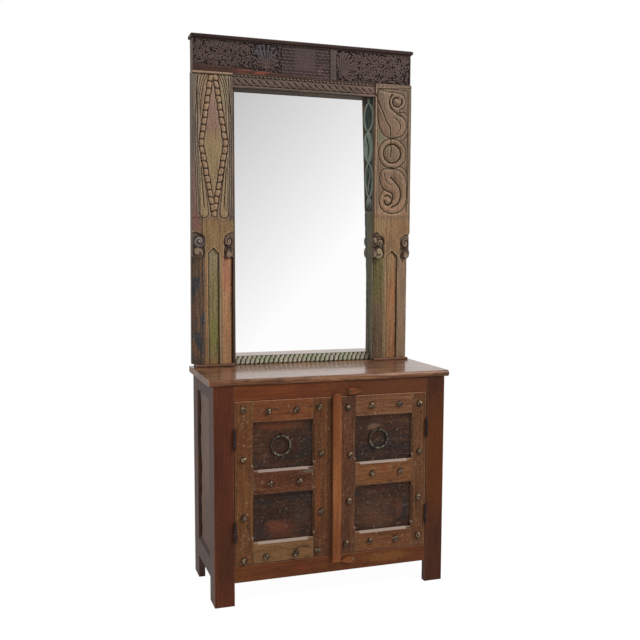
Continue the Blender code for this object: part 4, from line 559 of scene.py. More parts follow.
def board_mesh(name, x, y, z, back, tint, material, replaced):
    """A closed board from a grid of rows going up and columns going right: the carved face, walls from
    its rim to the plane y = back, and strips across the back. Tint is a colour for each grid point; the
    back is bare sawn wood. The piece takes the place of a CAD node."""
    x, y, z = np.broadcast_arrays(x, y, z)
    rows, columns = x.shape
    rim = [np.stack([x[:, k], np.full(rows, back), z[:, k]], 1) for k in (0, -1)]
    points = np.vstack([np.stack([x, y, z], 2).reshape(-1, 3), *rim])
    number = np.arange(rows * columns).reshape(rows, columns)
    left, right = rows * columns + np.arange(rows), rows * columns + rows + np.arange(rows)
    face = np.stack([number[:-1, :-1], number[:-1, 1:], number[1:, 1:], number[1:, :-1]], 2)
    west_wall = np.stack([left[:-1], number[:-1, 0], number[1:, 0], left[1:]], 1)
    east_wall = np.stack([number[:-1, -1], right[:-1], right[1:], number[1:, -1]], 1)
    rear = np.stack([right[:-1], left[:-1], left[1:], right[1:]], 1)
    faces = np.vstack([face.reshape(-1, 4), west_wall, east_wall, rear]).tolist()
    faces.append([left[0], right[0], *number[0, ::-1]])
    faces.append([right[-1], left[-1], *number[-1]])
    bare = np.tile(linear("#6E5640")[:3], (2 * rows, 1))
    piece = new_piece(name, points, faces, material, np.vstack([tint.reshape(-1, 3), bare]))
    carved = (rows - 1) * (columns - 1)
    piece.data.polygons.foreach_set("use_smooth", np.arange(len(faces)) < carved)
    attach(piece, "cabinet")
    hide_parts(replaced)


def hollows(relief, reach):
    """How far each point lies below the mean of its neighbourhood: dirt and painted shade go where it is
    large.
    """
    mean = relief.copy()
    for _ in range(reach):
        padded = np.pad(mean, 1, mode="edge")
        mean = (padded[:-2, 1:-1] + padded[2:, 1:-1] + padded[1:-1, :-2] + padded[1:-1, 2:] + mean) / 5
    return mean - relief


def grime_shade_and_shine(relief, dark="#2A1D16", pale="#B8A084", depth=0.0009, shine=0.55):
    """Layers for tinted: dirt and painted shade in the fine and the wide hollows, and a rubbed tone with
    a painted highlight on the crests.
    """
    low = hollows(relief, 5) / depth
    wide = hollows(relief, 22) / (depth * 3.2)
    return ((dark, np.clip(low, 0, 1) * 0.80), (dark, np.clip(wide, 0, 1) * 0.75),
            (pale, np.clip(-low, 0, 1) * shine))


def carved_wood(name, along, seed, rough=(0.5, 0.78), contrast=0.45, pale="#B49C7C"):
    """Carved old timber. Its colour is the piece's tint, broken up by dark and pale grain along one axis
    (6 mm across, 120 mm long) and by crumbling spots of 5 mm, which also make its relief."""
    material, tree, shader, at = new_material(name)
    stretch = [0.05 if axis == along else 1.0 for axis in "XYZ"]
    shift = (seed, seed, seed)
    lines = add(tree, "Mapping", {"Vector": at, "Location": shift, "Scale": stretch}).outputs[0]
    tint = add(tree, "Attribute", attribute_name="tint").outputs["Color"]
    streak = add(tree, "TexNoise", {"Vector": lines, "Scale": 165.0, "Detail": 6.0,
                                    "Roughness": 0.65}).outputs[0]
    spots = add(tree, "TexNoise", {"Vector": at, "Scale": 200.0, "Detail": 6.0,
                                   "Roughness": 0.7}).outputs[0]
    shade = add(tree, "ValToRGB", {0: streak}, stops=[(0.33, 1 - contrast), (0.50, 0.95),
                                                      (0.68, 1.0)]).outputs[0]
    colour = add(tree, "Mix", {0: 1.0, 6: tint, 7: shade}, data_type='RGBA',
                 blend_type='MULTIPLY').outputs[2]
    light = add(tree, "ValToRGB", {0: streak}, stops=[(0.58, 0.0), (0.74, 0.40)]).outputs[0]
    colour = add(tree, "Mix", {0: light, 6: colour, 7: pale}, data_type='RGBA').outputs[2]
    darkening = add(tree, "ValToRGB", {0: spots}, stops=[(0.34, 0.60), (0.46, 1.0)]).outputs[0]
    colour = add(tree, "Mix", {0: 1.0, 6: colour, 7: darkening}, data_type='RGBA',
                 blend_type='MULTIPLY').outputs[2]
    tree.links.new(colour, shader.inputs["Base Color"])
    polish = add(tree, "MapRange", {"Value": spots, "To Min": rough[0], "To Max": rough[1]}).outputs[0]
    tree.links.new(polish, shader.inputs["Roughness"])
    height = add(tree, "Math", {0: streak, 1: spots}, operation='ADD').outputs[0]
    bump = add(tree, "Bump", {"Height": height, "Strength": 0.5, "Distance": 0.0012}).outputs[0]
    tree.links.new(bump, shader.inputs["Normal"])
    shader.inputs["Specular IOR Level"].default_value = 0.22
    return material


post_paint = carved_wood("worn_painted_post", 'Z', 3.1)
TABLE, POST_TOP = 0.830, 1.960         # z of the tabletop's surface and of a post's head
POST_TALL = POST_TOP - TABLE
FOOT_FROM, HEAD_FROM = 0.0103, 0.430   # a shaft's foot and its brackets' underside, above the tabletop
BRACKET_TOP = 0.5225                   # the brackets' upper side
POST_FACE, POST_BACK = 0.152, 0.2097   # y of a post's front and back
POST_AXIS, HALF = 0.3715, 0.0762       # x of a post's middle, and half its width
LEFT_FLARE, LEFT_TAPER, RIGHT_FLARE = 0.0102, 0.0078, 0.0052   # the outer edges' extra width
CANT = 0.028                           # depth of the shaft's canted corners
STEP = 0.0015                          # grid of the carving


def cut_along(u, h, path, width=0.0055, depth=0.0055, soft=0.0020, spread=0.0075):
    """A V cut along a path with the wood rounded off on both sides of it."""
    far = away(u, h, path)
    return -depth * np.clip(1 - far / (width / 2), 0, 1) - soft * np.exp(-(far / spread) ** 2)


def post_grid(side):
    """Rows up the post and columns across it, on the left side (-1) or the right one (1). The outer edge
    stands wider than the inner one, most of all at the left post's foot."""
    low = np.linspace(FOOT_FROM, HEAD_FROM - 0.0004, int(HEAD_FROM / STEP))
    high = np.linspace(HEAD_FROM, POST_TALL, int((POST_TALL - HEAD_FROM) / STEP))
    h = np.concatenate([low, high])[:, None]
    inner = np.full_like(h, HALF)
    if side < 0:
        west, east = -(HALF + LEFT_FLARE - LEFT_TAPER * h / POST_TALL), inner
    else:
        west, east = -inner, np.full_like(h, HALF + RIGHT_FLARE)
    t = np.linspace(0, 1, int(2 * HALF / STEP))[None, :]
    return west + (east - west) * t, h + 0 * t


def shaft(u, h, facet, niche, apex):
    """Canted shaft with a pointed recess. Facet and niche are the left and right edges of the front
    facet and of the recess, apex the height of its point. Gives the relief, 0 on the front facet and
    dropping evenly on the cants, and masks of the recess, the raised rim round it and the cants."""
    left, right = facet
    below = smooth(HEAD_FROM + 0.0001, HEAD_FROM - 0.0001, h)
    west = np.clip((left - u) / (left - u.min(axis=1, keepdims=True)), 0, 1)
    east = np.clip((u - right) / (u.max(axis=1, keepdims=True) - right), 0, 1)
    cant = np.maximum(west, east)
    middle, half = sum(niche) / 2, (niche[1] - niche[0]) / 2
    beside = half - np.abs(u - middle)
    under = apex - np.abs(u - middle) / half * 0.023 - h
    recess = np.minimum(smooth(-0.0006, 0.0006, beside), smooth(-0.0008, 0.0008, under))
    rim = smooth(-0.0050, -0.0035, beside) * smooth(-0.007, -0.0055, under) - recess
    edge = sum(np.exp(-((u - line) / 0.0010) ** 2) for line in facet)
    relief = (-CANT * cant - 0.0022 * edge) * below - 0.0065 * recess + 0.0012 * rim
    return relief, recess, rim, cant * below


def brackets(u, h, west, east):
    """The pair of scroll brackets, sunk a little and parted by cuts from the shield between them, which
    reaches to west and east from the middle. Gives the relief and a mask of the two."""
    cuts, both = 0, 0
    for sign, reach in ((-1, west), (1, east)):
        top = curve((sign * 0.0830, BRACKET_TOP), (sign * 0.0640, 0.5215),
                    (sign * (reach + 0.006), 0.510), (sign * reach, 0.492),
                    (sign * (reach + 0.003), 0.470), (sign * reach, 0.450),
                    (sign * (reach + 0.004), 0.426))
        bound = np.interp(h, top[::-1, 1], np.abs(top[::-1, 0]))
        both = both + smooth(-0.001, 0.001, sign * u - bound) * (h > HEAD_FROM) * (h < BRACKET_TOP)
        cuts = cuts + cut_along(u, h, top, 0.0060, 0.0060)
    return cuts - 0.0075 * both, both


CHAIN_TOP, CHAIN_WAIST, CHAIN_FOOT = 1.107, 0.860, 0.590   # heights of the two chains of blocks
CHAIN_PITCH = 0.02721                                      # from one block to the next
BEAD = 0.0560                                              # a raised line's distance from the middle


def left_carving(u, h):
    """Two chains of rounded blocks, a smooth kite between them, leaves above and tongues below. Gives
    the relief, masks of the blocks and of the tongues, and how far each point lies outside its chain's
    line."""
    side = np.abs(u)
    spread = np.where(h > CHAIN_WAIST, 0.0095 + 0.0385 * (CHAIN_TOP - h) / 0.247,
                      0.048 * (h - CHAIN_FOOT) / 0.270)
    spread = np.maximum(spread + 0.0007 * np.sin(h * 130 + np.sign(u)), 0.0)
    beside = side - spread
    beat = (CHAIN_TOP - h) / CHAIN_PITCH + 0.04 * np.sin(u * 260) + 0.10 * (u > 0)
    step = beat - np.round(beat)
    size = 1 + 0.08 * np.sin(np.round(beat) * 2.4 + np.sign(u))
    block = (np.abs(beside) / (0.0090 * size)) ** 3 + (np.abs(step) * CHAIN_PITCH / 0.0121) ** 4
    block = np.clip(1 - block, 0, 1) ** 0.50 * smooth(0.580, 0.588, h) * smooth(1.119, 1.116, h)
    trench = smooth(0.0130, 0.0096, np.abs(beside)) * smooth(0.578, 0.588, h) * smooth(1.121, 1.117, h)
    relief = -0.0058 * trench + 0.0086 * block * (1 - 0.16 * wander(u, h, 0.012, 61))
    relief -= 0.0022 * smooth(0.0, -0.012, beside) * (1 - trench)
    bead = np.abs(side - BEAD + 0.0012 * np.sin(h * 41)) / 0.0034
    relief += 0.0022 * np.sqrt(np.clip(1 - bead ** 2, 0, 1)) * smooth(0.640, 0.68, h) * (beside > 0.010)
    line = 0.039 + 0.0125 * np.clip((h - 0.62) / 0.20, 0, 1)
    tongue = np.abs(side - line)
    width = 0.0158 * np.clip((0.815 - h) / 0.21, 0, 1) ** 0.7
    lobe = np.hypot(side - 0.039, h - 0.5945) / 0.0160
    body = np.maximum(smooth(0.001, -0.001, tongue - width) * (h > 0.5945), smooth(1.04, 0.96, lobe))
    slit = smooth(0.0032, 0.0008, tongue) * smooth(0.612, 0.630, h) * smooth(0.80, 0.76, h)
    outline = np.exp(-((tongue - width) / 0.0017) ** 2) * (h > 0.5945) * (h < 0.81)
    outline = np.maximum(outline, np.exp(-((lobe - 1.0) / 0.11) ** 2) * (h < 0.597))
    relief += 0.0022 * body - 0.0050 * slit - 0.0045 * outline
    relief += 0.0030 * np.clip(1 - lobe ** 2, 0, 1)
    sway = 0.0010 * np.sin(h * 41) + 0.0006 * np.sin(h * 97)
    for offset, deep in ((0.0610, 0.0036), (0.0690, 0.0022)):
        groove = np.exp(-((side - offset + sway) / 0.0014) ** 2)
        relief -= deep * groove * smooth(0.600, 0.63, h) * (beside > 0.010)
    for start, end in ((0.021, 0.047), (0.031, 0.0535), (0.043, 0.0590), (0.0545, 0.0650)):
        leaf = curve((start, 1.116), (0.45 * start + 0.55 * end, 1.085), (end, 1.020),
                     (end + 0.002, 0.950))
        cut = cut_along(side, h, leaf, 0.0040, 0.0042, 0.0014, 0.0040)
        relief += cut * (beside > 0.011) * smooth(0.95, 1.0, h)
    return relief, block, body, beside


u, h = post_grid(-1)
relief, recess, rim, cant = shaft(u, h, (-0.0385, 0.0300), (-0.0255, 0.0190), 0.4665)
carving, block, tongue, beside = left_carving(u, h)
above_neck = smooth(0.566, 0.574, h)
relief = relief + carving * above_neck
bracket_cuts, bracket = brackets(u, h, 0.0370, 0.0400)
relief += bracket_cuts
shield = smooth(0.0605, 0.0590, u) * smooth(-0.0445, -0.0430, u)
relief -= 0.0028 * (1 - shield) * (h > HEAD_FROM) * smooth(0.590, 0.575, h)
ledge = smooth(1.1215, 1.1225, h) * (h < 1.1290)
relief = np.where(ledge > 0.5, 0.0038, relief - 0.0020 * smooth(1.112, 1.118, h))
relief += 0.0006 * wander(u, h / 7, 0.007, 5) + 0.0005 * wander(u, h, 0.018, 6)
streak, cloud, fine = wander(u, h / 14, 0.010, 7), wander(u, h / 2, 0.06, 8), wander(u, h / 9, 0.004, 9)
bead = np.clip(1 - (np.abs(np.abs(u) - BEAD) / 0.0036) ** 2, 0, 1) * smooth(0.66, 0.70, h)
kite, leaves = beside < -0.012, (u > 0.022) * (u < 0.064) * (beside > 0.012) * smooth(0.98, 1.04, h)
west_cant, east_cant = cant * 40 * (u < -0.02), cant * 40 * (u > 0.02)
tint = tinted("#80614A",
              ("#554E47", smooth(0.048, 0.060, np.abs(u)) * above_neck * 0.85),
              ("#5C4A44", smooth(0.050, 0.064, u) * smooth(0.95, 0.88, h) * above_neck * 0.7),
              ("#72504A", smooth(-0.062, -0.070, u) * smooth(0.85, 0.75, h) * above_neck * 0.8),
              ("#8C8478", bead * 0.8),
              ("#8C7E6C", smooth(0.1, 0.8, streak) * 0.45 * above_neck * (np.abs(u) > 0.048)),
              ("#42434A", smooth(0.3, 0.9, cloud + 0.4 * fine) * (u < -0.05) * smooth(0.85, 0.95, h)),
              ("#987458", block * 0.75), ("#9C7C58", block * smooth(0.75, 0.65, h) * 0.6),
              ("#96746A", kite * smooth(0.85, 0.98, h) * 0.9),
              ("#96805C", kite * smooth(0.95, 0.85, h) * 0.9 * above_neck),
              ("#8A7456", kite * smooth(0.0, 0.7, streak) * 0.6 * above_neck),
              ("#98805C", tongue * (np.abs(u) < 0.056) * above_neck * 0.8),
              ("#8C6E48", smooth(0.582, 0.560, h) * (cant < 0.05) * 0.95),
              ("#715340", smooth(-0.041, -0.046, u) * smooth(0.430, 0.432, h)
               * smooth(0.600, 0.58, h) * 0.85),
              ("#785248", smooth(-0.050, -0.062, u) * smooth(0.525, 0.54, h)
               * smooth(0.62, 0.57, h) * 0.9),
              ("#7A7E62", leaves * smooth(-0.5, 0.3, streak) * 0.8),
              # the brackets' sunk ground behind the rolls is darkened: painted shade
              ("#625048", bracket * 0.9),
              ("#8A7C55", recess * 0.95), ("#948466", recess * smooth(0.34, 0.42, h) * 0.7),
              ("#7C7A3A", recess * smooth(0.24, 0.16, h) * smooth(0.04, 0.10, h) * 0.75),
              ("#8E7444", recess * smooth(0.06, 0.02, h) * 0.9),
              ("#A07C50", rim * 0.9),
              ("#A06E48", (u < -0.026) * (u > -0.0385) * smooth(0.44, 0.40, h) * 0.6),
              ("#A67C56", east_cant * 0.95), ("#A87054", east_cant * smooth(0.28, 0.36, h) * 0.5),
              ("#B47E5A", east_cant * smooth(0.1, 0.8, streak) * 0.7),
              ("#54443A", west_cant * 0.95), ("#765640", west_cant * smooth(0.0, 0.6, streak) * 0.7),
              ("#3A3C42", west_cant * smooth(0.2, 0.6, cloud + 0.3 * fine)
               * smooth(0.36, 0.26, h) * 0.95),
              ("#8C6652", ledge * 0.8), *grime_shade_and_shine(relief, "#3A2A1E"))
board_mesh("left_post_carving", u - POST_AXIS, POST_FACE - relief, h + TABLE, POST_BACK, tint,
           post_paint, "left_post")

EYE_TOP, EYE_LOW, EYE_ROUND = (0.0175, 1.0640), (-0.0178, 0.6597), 0.0130   # the scrolls' eyes
DISC_AT, DISC_OUTER, DISC_INNER = (0.001, 0.8535), 0.0620, 0.0385           # the ring between them


def within(x, z, path):
    """1 inside a closed path and 0 outside: how often a line to the right crosses it decides."""
    odd = np.zeros(x.shape, bool)
    for (ax, az), (bx, bz) in zip(path, np.roll(path, -1, axis=0)):
        if az != bz:
            odd ^= ((az > z) != (bz > z)) & (x < ax + (bx - ax) * (z - az) / (bz - az))
    return odd


def right_carving(u, h):
    """Scroll, ring and scroll: pillowed bodies parted by deep cuts, on a sunk ground. Upper, lower and
    around bound the bodies, inner cuts part them and hints are shallow lines beside them. Gives the
    relief, and masks of the ring's disc, of the ground between the bodies and of the darkening in the
    cuts and the crack, which is dirt and painted shade."""
    ring = np.hypot(u - DISC_AT[0], h - DISC_AT[1])
    upper = curve((-0.006, 0.9120), (-0.0360, 0.926), (-0.0560, 0.953), (-0.0640, 0.990),
                  (-0.0655, 1.030), (-0.0640, 1.104), (-0.020, 1.102), (0.028, 1.099),
                  (0.0520, 1.088), (0.0590, 1.064), (0.0520, 1.042), (0.0340, 1.030),
                  (0.0400, 1.010), (0.0590, 0.990), (0.0640, 0.965), (0.0560, 0.941),
                  (0.034, 0.922), (-0.006, 0.9120))
    lower = curve((-0.006, 0.7960), (0.030, 0.788), (0.056, 0.767), (0.0680, 0.728), (0.0680, 0.672),
                  (0.058, 0.638), (0.036, 0.616), (0.000, 0.6075), (-0.034, 0.617), (-0.052, 0.640),
                  (-0.056, 0.672), (-0.045, 0.694), (-0.040, 0.706), (-0.0540, 0.738), (-0.0545, 0.765),
                  (-0.040, 0.788), (-0.006, 0.7960))
    around = spiral(DISC_AT, DISC_OUTER, DISC_OUTER, 0, 1.0)
    inner = (
        curve((0.0400, 1.006), (0.018, 1.018), (-0.006, 1.038), (-0.0125, 1.066), (-0.002, 1.090)),
        spiral(EYE_TOP, 0.0135, 0.0250, 70, 0.85),
        spiral(DISC_AT, DISC_INNER, DISC_INNER, 0, 1.0),
        curve((-0.0540, 0.738), (-0.042, 0.714), (-0.022, 0.702), (0.000, 0.692), (0.006, 0.672),
              (-0.004, 0.652), (-0.018, 0.6445)),
        curve((-0.004, 0.756), (0.016, 0.738), (0.036, 0.712), (0.040, 0.680), (0.028, 0.650),
              (0.000, 0.634)),
        spiral(EYE_LOW, 0.0135, 0.0230, 190, 0.80),
    )
    hints = (
        curve((0.004, 1.000), (0.026, 0.985), (0.036, 0.958), (0.018, 0.934)),
        curve((-0.034, 0.770), (-0.026, 0.742), (-0.004, 0.726)),
        curve((0.026, 1.018), (0.052, 1.022), (0.066, 1.010)),
        curve((0.040, 0.905), (0.058, 0.915), (0.068, 0.930)),
        curve((0.036, 0.802), (0.056, 0.794), (0.068, 0.776)),
        curve((-0.060, 1.112), (0.020, 1.114), (0.074, 1.118)),
        curve((0.0700, 0.650), (0.0705, 0.760), (0.0695, 0.880), (0.0700, 1.110)),
    )
    body = within(u, h, upper) | within(u, h, lower) | (ring < DISC_OUTER)
    edge = np.minimum(np.minimum(away(u, h, upper), away(u, h, lower)), away(u, h, around))
    cut = edge.copy()
    for path in inner:
        cut = np.minimum(cut, away(u, h, path))
    field = (np.abs(u + 0.0005) < 0.0680) & (h < 1.112)
    relief = np.where(body, -0.0088 * np.exp(-cut / 0.0078), -0.0046 * smooth(0.0, 0.0020, edge) * field)
    relief *= smooth(0.600, 0.640, h + 0.02 * body)
    relief -= 0.0044 * np.clip(1 - cut / 0.0040, 0, 1) * smooth(0.600, 0.606, h)
    for path in hints:
        relief += cut_along(u, h, path, 0.0056, 0.0046, 0.0014)
    disc = smooth(0.0390, 0.0365, ring)
    relief -= 0.0030 * disc
    for centre in (EYE_TOP, EYE_LOW):
        eye = np.hypot(u - centre[0], h - centre[1]) / EYE_ROUND
        relief += 0.0046 * np.clip(1 - eye ** 2, 0, 1)
    tool = np.clip(wander(u, h, 0.0052, 62, 16) - 0.15, 0, 1)
    pitted = np.maximum(disc, smooth(0.036, 0.022, np.hypot(u - 0.020, h - 0.958)))
    pitted = np.maximum(pitted, smooth(0.044, 0.030, np.hypot(u * 1.3, h - 0.770)))
    relief -= 0.0034 * tool * pitted
    crack = curve((-0.0765, 1.092), (-0.055, 1.045), (-0.041, 1.013), (-0.026, 0.980), (-0.012, 0.958),
                  (-0.008, 0.930), (-0.006, 0.905), (-0.004, 0.870), (-0.007, 0.840))
    relief = relief + cut_along(u, h, crack, 0.0060, 0.0085, 0.0006, 0.004)
    margin = cut_along(u, h, np.array([(-0.0672, 0.640), (-0.0680, 1.115)]), 0.0036, 0.0040, 0.0)
    # the cuts and the crack are darkened: dirt and painted shade
    darkening = np.maximum(0.75 * np.exp(-(cut / 0.0042) ** 2), np.exp(-(away(u, h, crack) / 0.0034) ** 2))
    return relief + margin, disc, field & ~body, darkening * (h > 0.600)


u, h = post_grid(1)
relief, recess, rim, cant = shaft(u, h, (-0.0330, 0.0375), (-0.0225, 0.0265), 0.4580)
carving, disc, ground, darkening = right_carving(u, h)
above_neck = smooth(0.596, 0.606, h)
relief = relief + carving * above_neck
bracket_cuts, bracket = brackets(u, h, 0.0325, 0.0400)
relief += bracket_cuts
relief += 0.0006 * wander(u, h / 7, 0.007, 15) + 0.0005 * wander(u, h, 0.018, 16)
streak, cloud = wander(u, h / 14, 0.010, 17), wander(u, h / 2, 0.06, 18)
below_neck, west_rim = smooth(0.604, 0.570, h) * (cant < 0.05), smooth(-0.066, -0.070, u)
west_cant, east_cant = cant * 40 * (u < 0), cant * 40 * (u > 0)
tint = tinted("#785C46",
              ("#66564A", smooth(0.92, 1.10, h) * 0.7),
              ("#8A6C58", smooth(-0.2, 0.8, cloud) * above_neck * 0.5),
              ("#966F50", smooth(0.80, 0.60, h) * above_neck * 0.6),
              # 5E4A38 on the next line darkens the sunk ground between the bodies: painted shade
              ("#685640", disc * 0.8), ("#5E4A38", ground * smooth(0.62, 0.68, h) * 0.6),
              ("#5F6A50", ground * (u < -0.03) * (np.abs(h - 0.915) < 0.02) * 0.6),
              ("#8C6C54", west_rim * above_neck * 0.8),
              # 3E2E22 on the next line darkens the cuts and the crack: dirt and painted shade
              ("#74564A", west_rim * smooth(0.92, 1.08, h) * 0.8), ("#3E2E22", darkening * 0.8),
              ("#6E5E4C", smooth(0.066, 0.071, u) * 0.7),
              ("#8A6844", below_neck * 0.9), ("#8E7650", below_neck * (u < -0.03) * 0.6),
              # the brackets' sunk ground behind the rolls is darkened: painted shade
              ("#5C483C", bracket * 0.9),
              ("#98704A", recess * 0.9),
              ("#A86C48", recess * smooth(-0.020, 0.010, u + 0.004 * cloud)
               * smooth(0.42, 0.28, h) * 0.55),
              ("#84704A", recess * smooth(0.004, -0.006, u) * smooth(0.33, 0.38, h) * 0.6),
              ("#A4784C", recess * smooth(0.1, 0.8, streak) * 0.5),
              ("#98805A", rim * 0.9),
              ("#4A3A2A", (u > 0.0268) * (u < 0.0315) * smooth(0.43, 0.42, h) * 0.9),
              ("#7A6E44", west_cant * smooth(0.10, 0.30, h) * 0.9),
              ("#7E6850", west_cant * smooth(0.26, 0.10, h) * 0.9), ("#7C6149", east_cant * 0.9),
              ("#9A8670", smooth(0.1, 0.8, streak) * 0.30), *grime_shade_and_shine(relief, "#35251A"))
board_mesh("right_post_carving", u + POST_AXIS, POST_FACE - relief, h + TABLE, POST_BACK, tint,
           post_paint, "right_post")

# Scroll brackets: each post's head ends in pairs of rolls, an upper one coiled about a round eye and a
# lower leaf-like one, cut from the same timber and standing a little proud of it.
ROLL_FACE, ROLL_FOOT = 0.1468, 0.1667   # y of a roll's crest and of its back
ROLL_GROOVE = 0.0052                    # how deep its spiral is cut


def roll(centre, half, lean, hand, coil):
    """One roll as rings from the eye outwards: a spiral groove on a domed face, then the side. Half
    gives its half sizes across and up, lean turns it, hand is the way it winds, coil the turns. Gives
    the points and how deep each lies below the crest."""
    t = np.concatenate([np.linspace(0.04, 1.0, 26), [1.0]])[:, None]
    angle = np.linspace(0, 2 * np.pi, 72, endpoint=False)[None, :]
    phase = t * coil - hand * angle / (2 * np.pi)
    groove = np.abs(phase - np.round(phase))
    eye = smooth(0.30, 0.16, t)
    ridge = smooth(0.06, 0.30, groove) * smooth(0.20, 0.34, t) * smooth(1.0, 0.9, t) + eye
    depth = ROLL_GROOVE * (1 - ridge) * (t < 1) + 0.0030 * t ** 2
    y = ROLL_FACE + depth
    y[-1] = ROLL_FOOT
    across, up = half[0] * t * np.cos(angle), half[1] * t * np.sin(angle)
    x = centre[0] + across * math.cos(lean) - up * math.sin(lean)
    z = centre[1] + across * math.sin(lean) + up * math.cos(lean)
    return np.stack([x, y, z], 2), depth


ROLLS = (                      # name, middle, half sizes, lean, hand, turns
    ("left_outer", (-0.4305, 1.3190), (0.0231, 0.0238), 0.0, 1, 1.5),
    ("left_outer_leaf", (-0.4355, 1.2745), (0.0215, 0.0228), 0.45, -1, 0.55),
    ("left_inner", (-0.3160, 1.3205), (0.0162, 0.0210), 0.0, -1, 1.4),
    ("left_inner_leaf", (-0.3130, 1.2755), (0.0150, 0.0225), -0.35, 1, 0.5),
    ("right_inner", (0.3215, 1.3190), (0.0150, 0.0172), 0.0, 1, 1.4),
    ("right_inner_side", (0.2975, 1.3225), (0.0098, 0.0205), 0.10, -1, 0.5),
    ("right_inner_leaf", (0.3140, 1.2765), (0.0190, 0.0255), 0.25, -1, 0.8),
    ("right_inner_foot", (0.2968, 1.2790), (0.0092, 0.0215), -0.06, 1, 0.4),
    ("right_inner_tip", (0.3040, 1.3515), (0.0110, 0.0090), 0.3, 1, 0.4),
    ("right_outer", (0.4330, 1.3175), (0.0158, 0.0200), 0.0, -1, 1.4),
    ("right_outer_leaf", (0.4365, 1.2735), (0.0150, 0.0215), -0.2, 1, 0.5))
for name, centre, half, lean, hand, coil in ROLLS:
    shell, depth = roll(centre, half, lean, hand, coil)
    shell[..., 1] += 0.0004 * wander(shell[..., 0], shell[..., 2], 0.008, 70)
    base = {"left_outer": "#7C726E", "left_inner": "#8A7266", "right_inner_tip": "#5A463C",
            "right_inner_leaf": "#96866C"}.get(name, "#86705E")
    # darker in the grooves and down the domes' sides, dirt and painted shade, and a rubbed, painted
    # highlight on the crests
    tone = tinted(base, ("#33261F", np.clip(depth / 0.0050, 0, 1) ** 1.5 * 0.75),
                  ("#B89A7E", smooth(0.0014, 0.0, depth) * 0.5))
    shells(name + "_roll", [shell], post_paint, "cabinet", tint=tone)

# Foot boards: a small rounded plinth across the foot of each post, reddish-brown with a rubbed top.
foot_wood = old_wood("worn_foot_board", 'X', ("#4E362A", "#68493A", "#866450"), 25, worn=1.0,
                     scuff="#B09078")
FOOT_HALF = 0.0753             # half a foot board's length
FOOT_SHAPE = np.array([(0.2090, 0.8303), (0.1420, 0.8303), (0.1404, 0.8318), (0.1402, 0.8365),
                       (0.1412, 0.8388), (0.1440, 0.8400), (0.2090, 0.8400)])   # y and z round its end
for word, middle in (("left", -POST_AXIS), ("right", POST_AXIS)):
    along = np.linspace(-FOOT_HALF, FOOT_HALF, 60)[:, None]
    y, z = FOOT_SHAPE[None, :, 0], FOOT_SHAPE[None, :, 1]
    sway = 0.0006 * wander(along, 0, 0.03, 80 + (word == "left"))
    y = y + np.where(y < 0.15, sway + 0.0003, 0)
    foot = np.stack(np.broadcast_arrays(middle + along, y, z), 2)
    shells(word + "_foot_board", [foot], foot_wood, "cabinet")

# Jambs: thin boards that close the gap between post and glass. The left one is flat. The right one is
# splayed, carved with long almond leaves that cross, and painted dark green with pale outlines.
green_paint = carved_wood("flaking_green_paint", 'Z', 5.7)
dress(old_wood("stained_jamb", 'Z', ("#3A2E28", "#54443A", "#6C5A4C"), 26, scuff="#8C7A68"),
      "left_jamb")
JAMB_LOW, JAMB_HIGH = 0.8304, 1.9046
JAMB_EDGE, JAMB_ARRIS = 0.2946, 0.0029   # x of its edge at the post, and its flat front arris
REACH_LOW, REACH_HIGH = 0.0036, 0.0403   # how far it comes in over the glass, at foot and head
JAMB_REAR, JAMB_DEEP = 0.1993, 0.0321    # y of its rear edge, and the splay's depth
JAMB_BACK = 0.1996
SPLAYED = 0.93                           # the part of the grid's width on the splay
z = np.linspace(JAMB_LOW, JAMB_HIGH, 560)[:, None]
share = np.linspace(0, 1, 40)[None, :]
reach = REACH_LOW + (REACH_HIGH - REACH_LOW) * (z - JAMB_LOW) / (JAMB_HIGH - JAMB_LOW)
splay = np.clip(share / SPLAYED, 0, 1)
x = JAMB_EDGE - reach + (reach - JAMB_ARRIS) * splay
x = x + 0.0028 * np.clip((share - SPLAYED) / 0.07, 0, 1)
y = JAMB_REAR - JAMB_DEEP * splay
width = np.hypot(reach - JAMB_ARRIS, JAMB_DEEP)
lean_x, lean_y = -JAMB_DEEP / width, -(reach - JAMB_ARRIS) / width
down = np.clip(1.885 - z, 0, 1)
turn = down / (0.108 + 0.050 * down)
bow = 0.42 * np.abs(np.sin(np.pi * turn)) ** 0.62
middle = 0.5 + 0.05 * np.sin(z * 21)
inside = bow - np.abs(splay - middle)
rib = np.exp(-(inside * width / (0.0050 + 0.0008 * wander(z, 0, 0.05, 93))) ** 2)
solid = smooth(0.0, 0.06, inside) * (np.floor(turn) % 2 == 1)
slit = np.abs(splay - middle - 0.10 * np.sin(z * 60)) * width
vein = np.exp(-(slit / 0.0030) ** 2) * smooth(0.35, 0.7, np.abs(np.sin(np.pi * turn)))
cut_leaf = np.maximum(rib, solid * (1 - vein)) + 0.7 * vein * (1 - solid) * smooth(1.70, 1.60, z)
cut_leaf = cut_leaf * smooth(1.455, 1.500, z)
arcs = np.exp(-((z - 1.445 - 0.012 * np.abs(np.sin(splay * 7))) / 0.0035) ** 2)
edge = smooth(0.90, 0.97, splay) + smooth(0.06, 0.02, splay)
plain_foot = smooth(1.455, 1.440, z)
relief = 0.0050 * np.clip(cut_leaf + edge + 0.7 * plain_foot, 0, 1) - 0.0050 - 0.0026 * arcs
relief += 0.0005 * wander(splay * width, z / 3, 0.008, 90)
mottle = wander(splay * 0.05, z / 2, 0.03, 91)
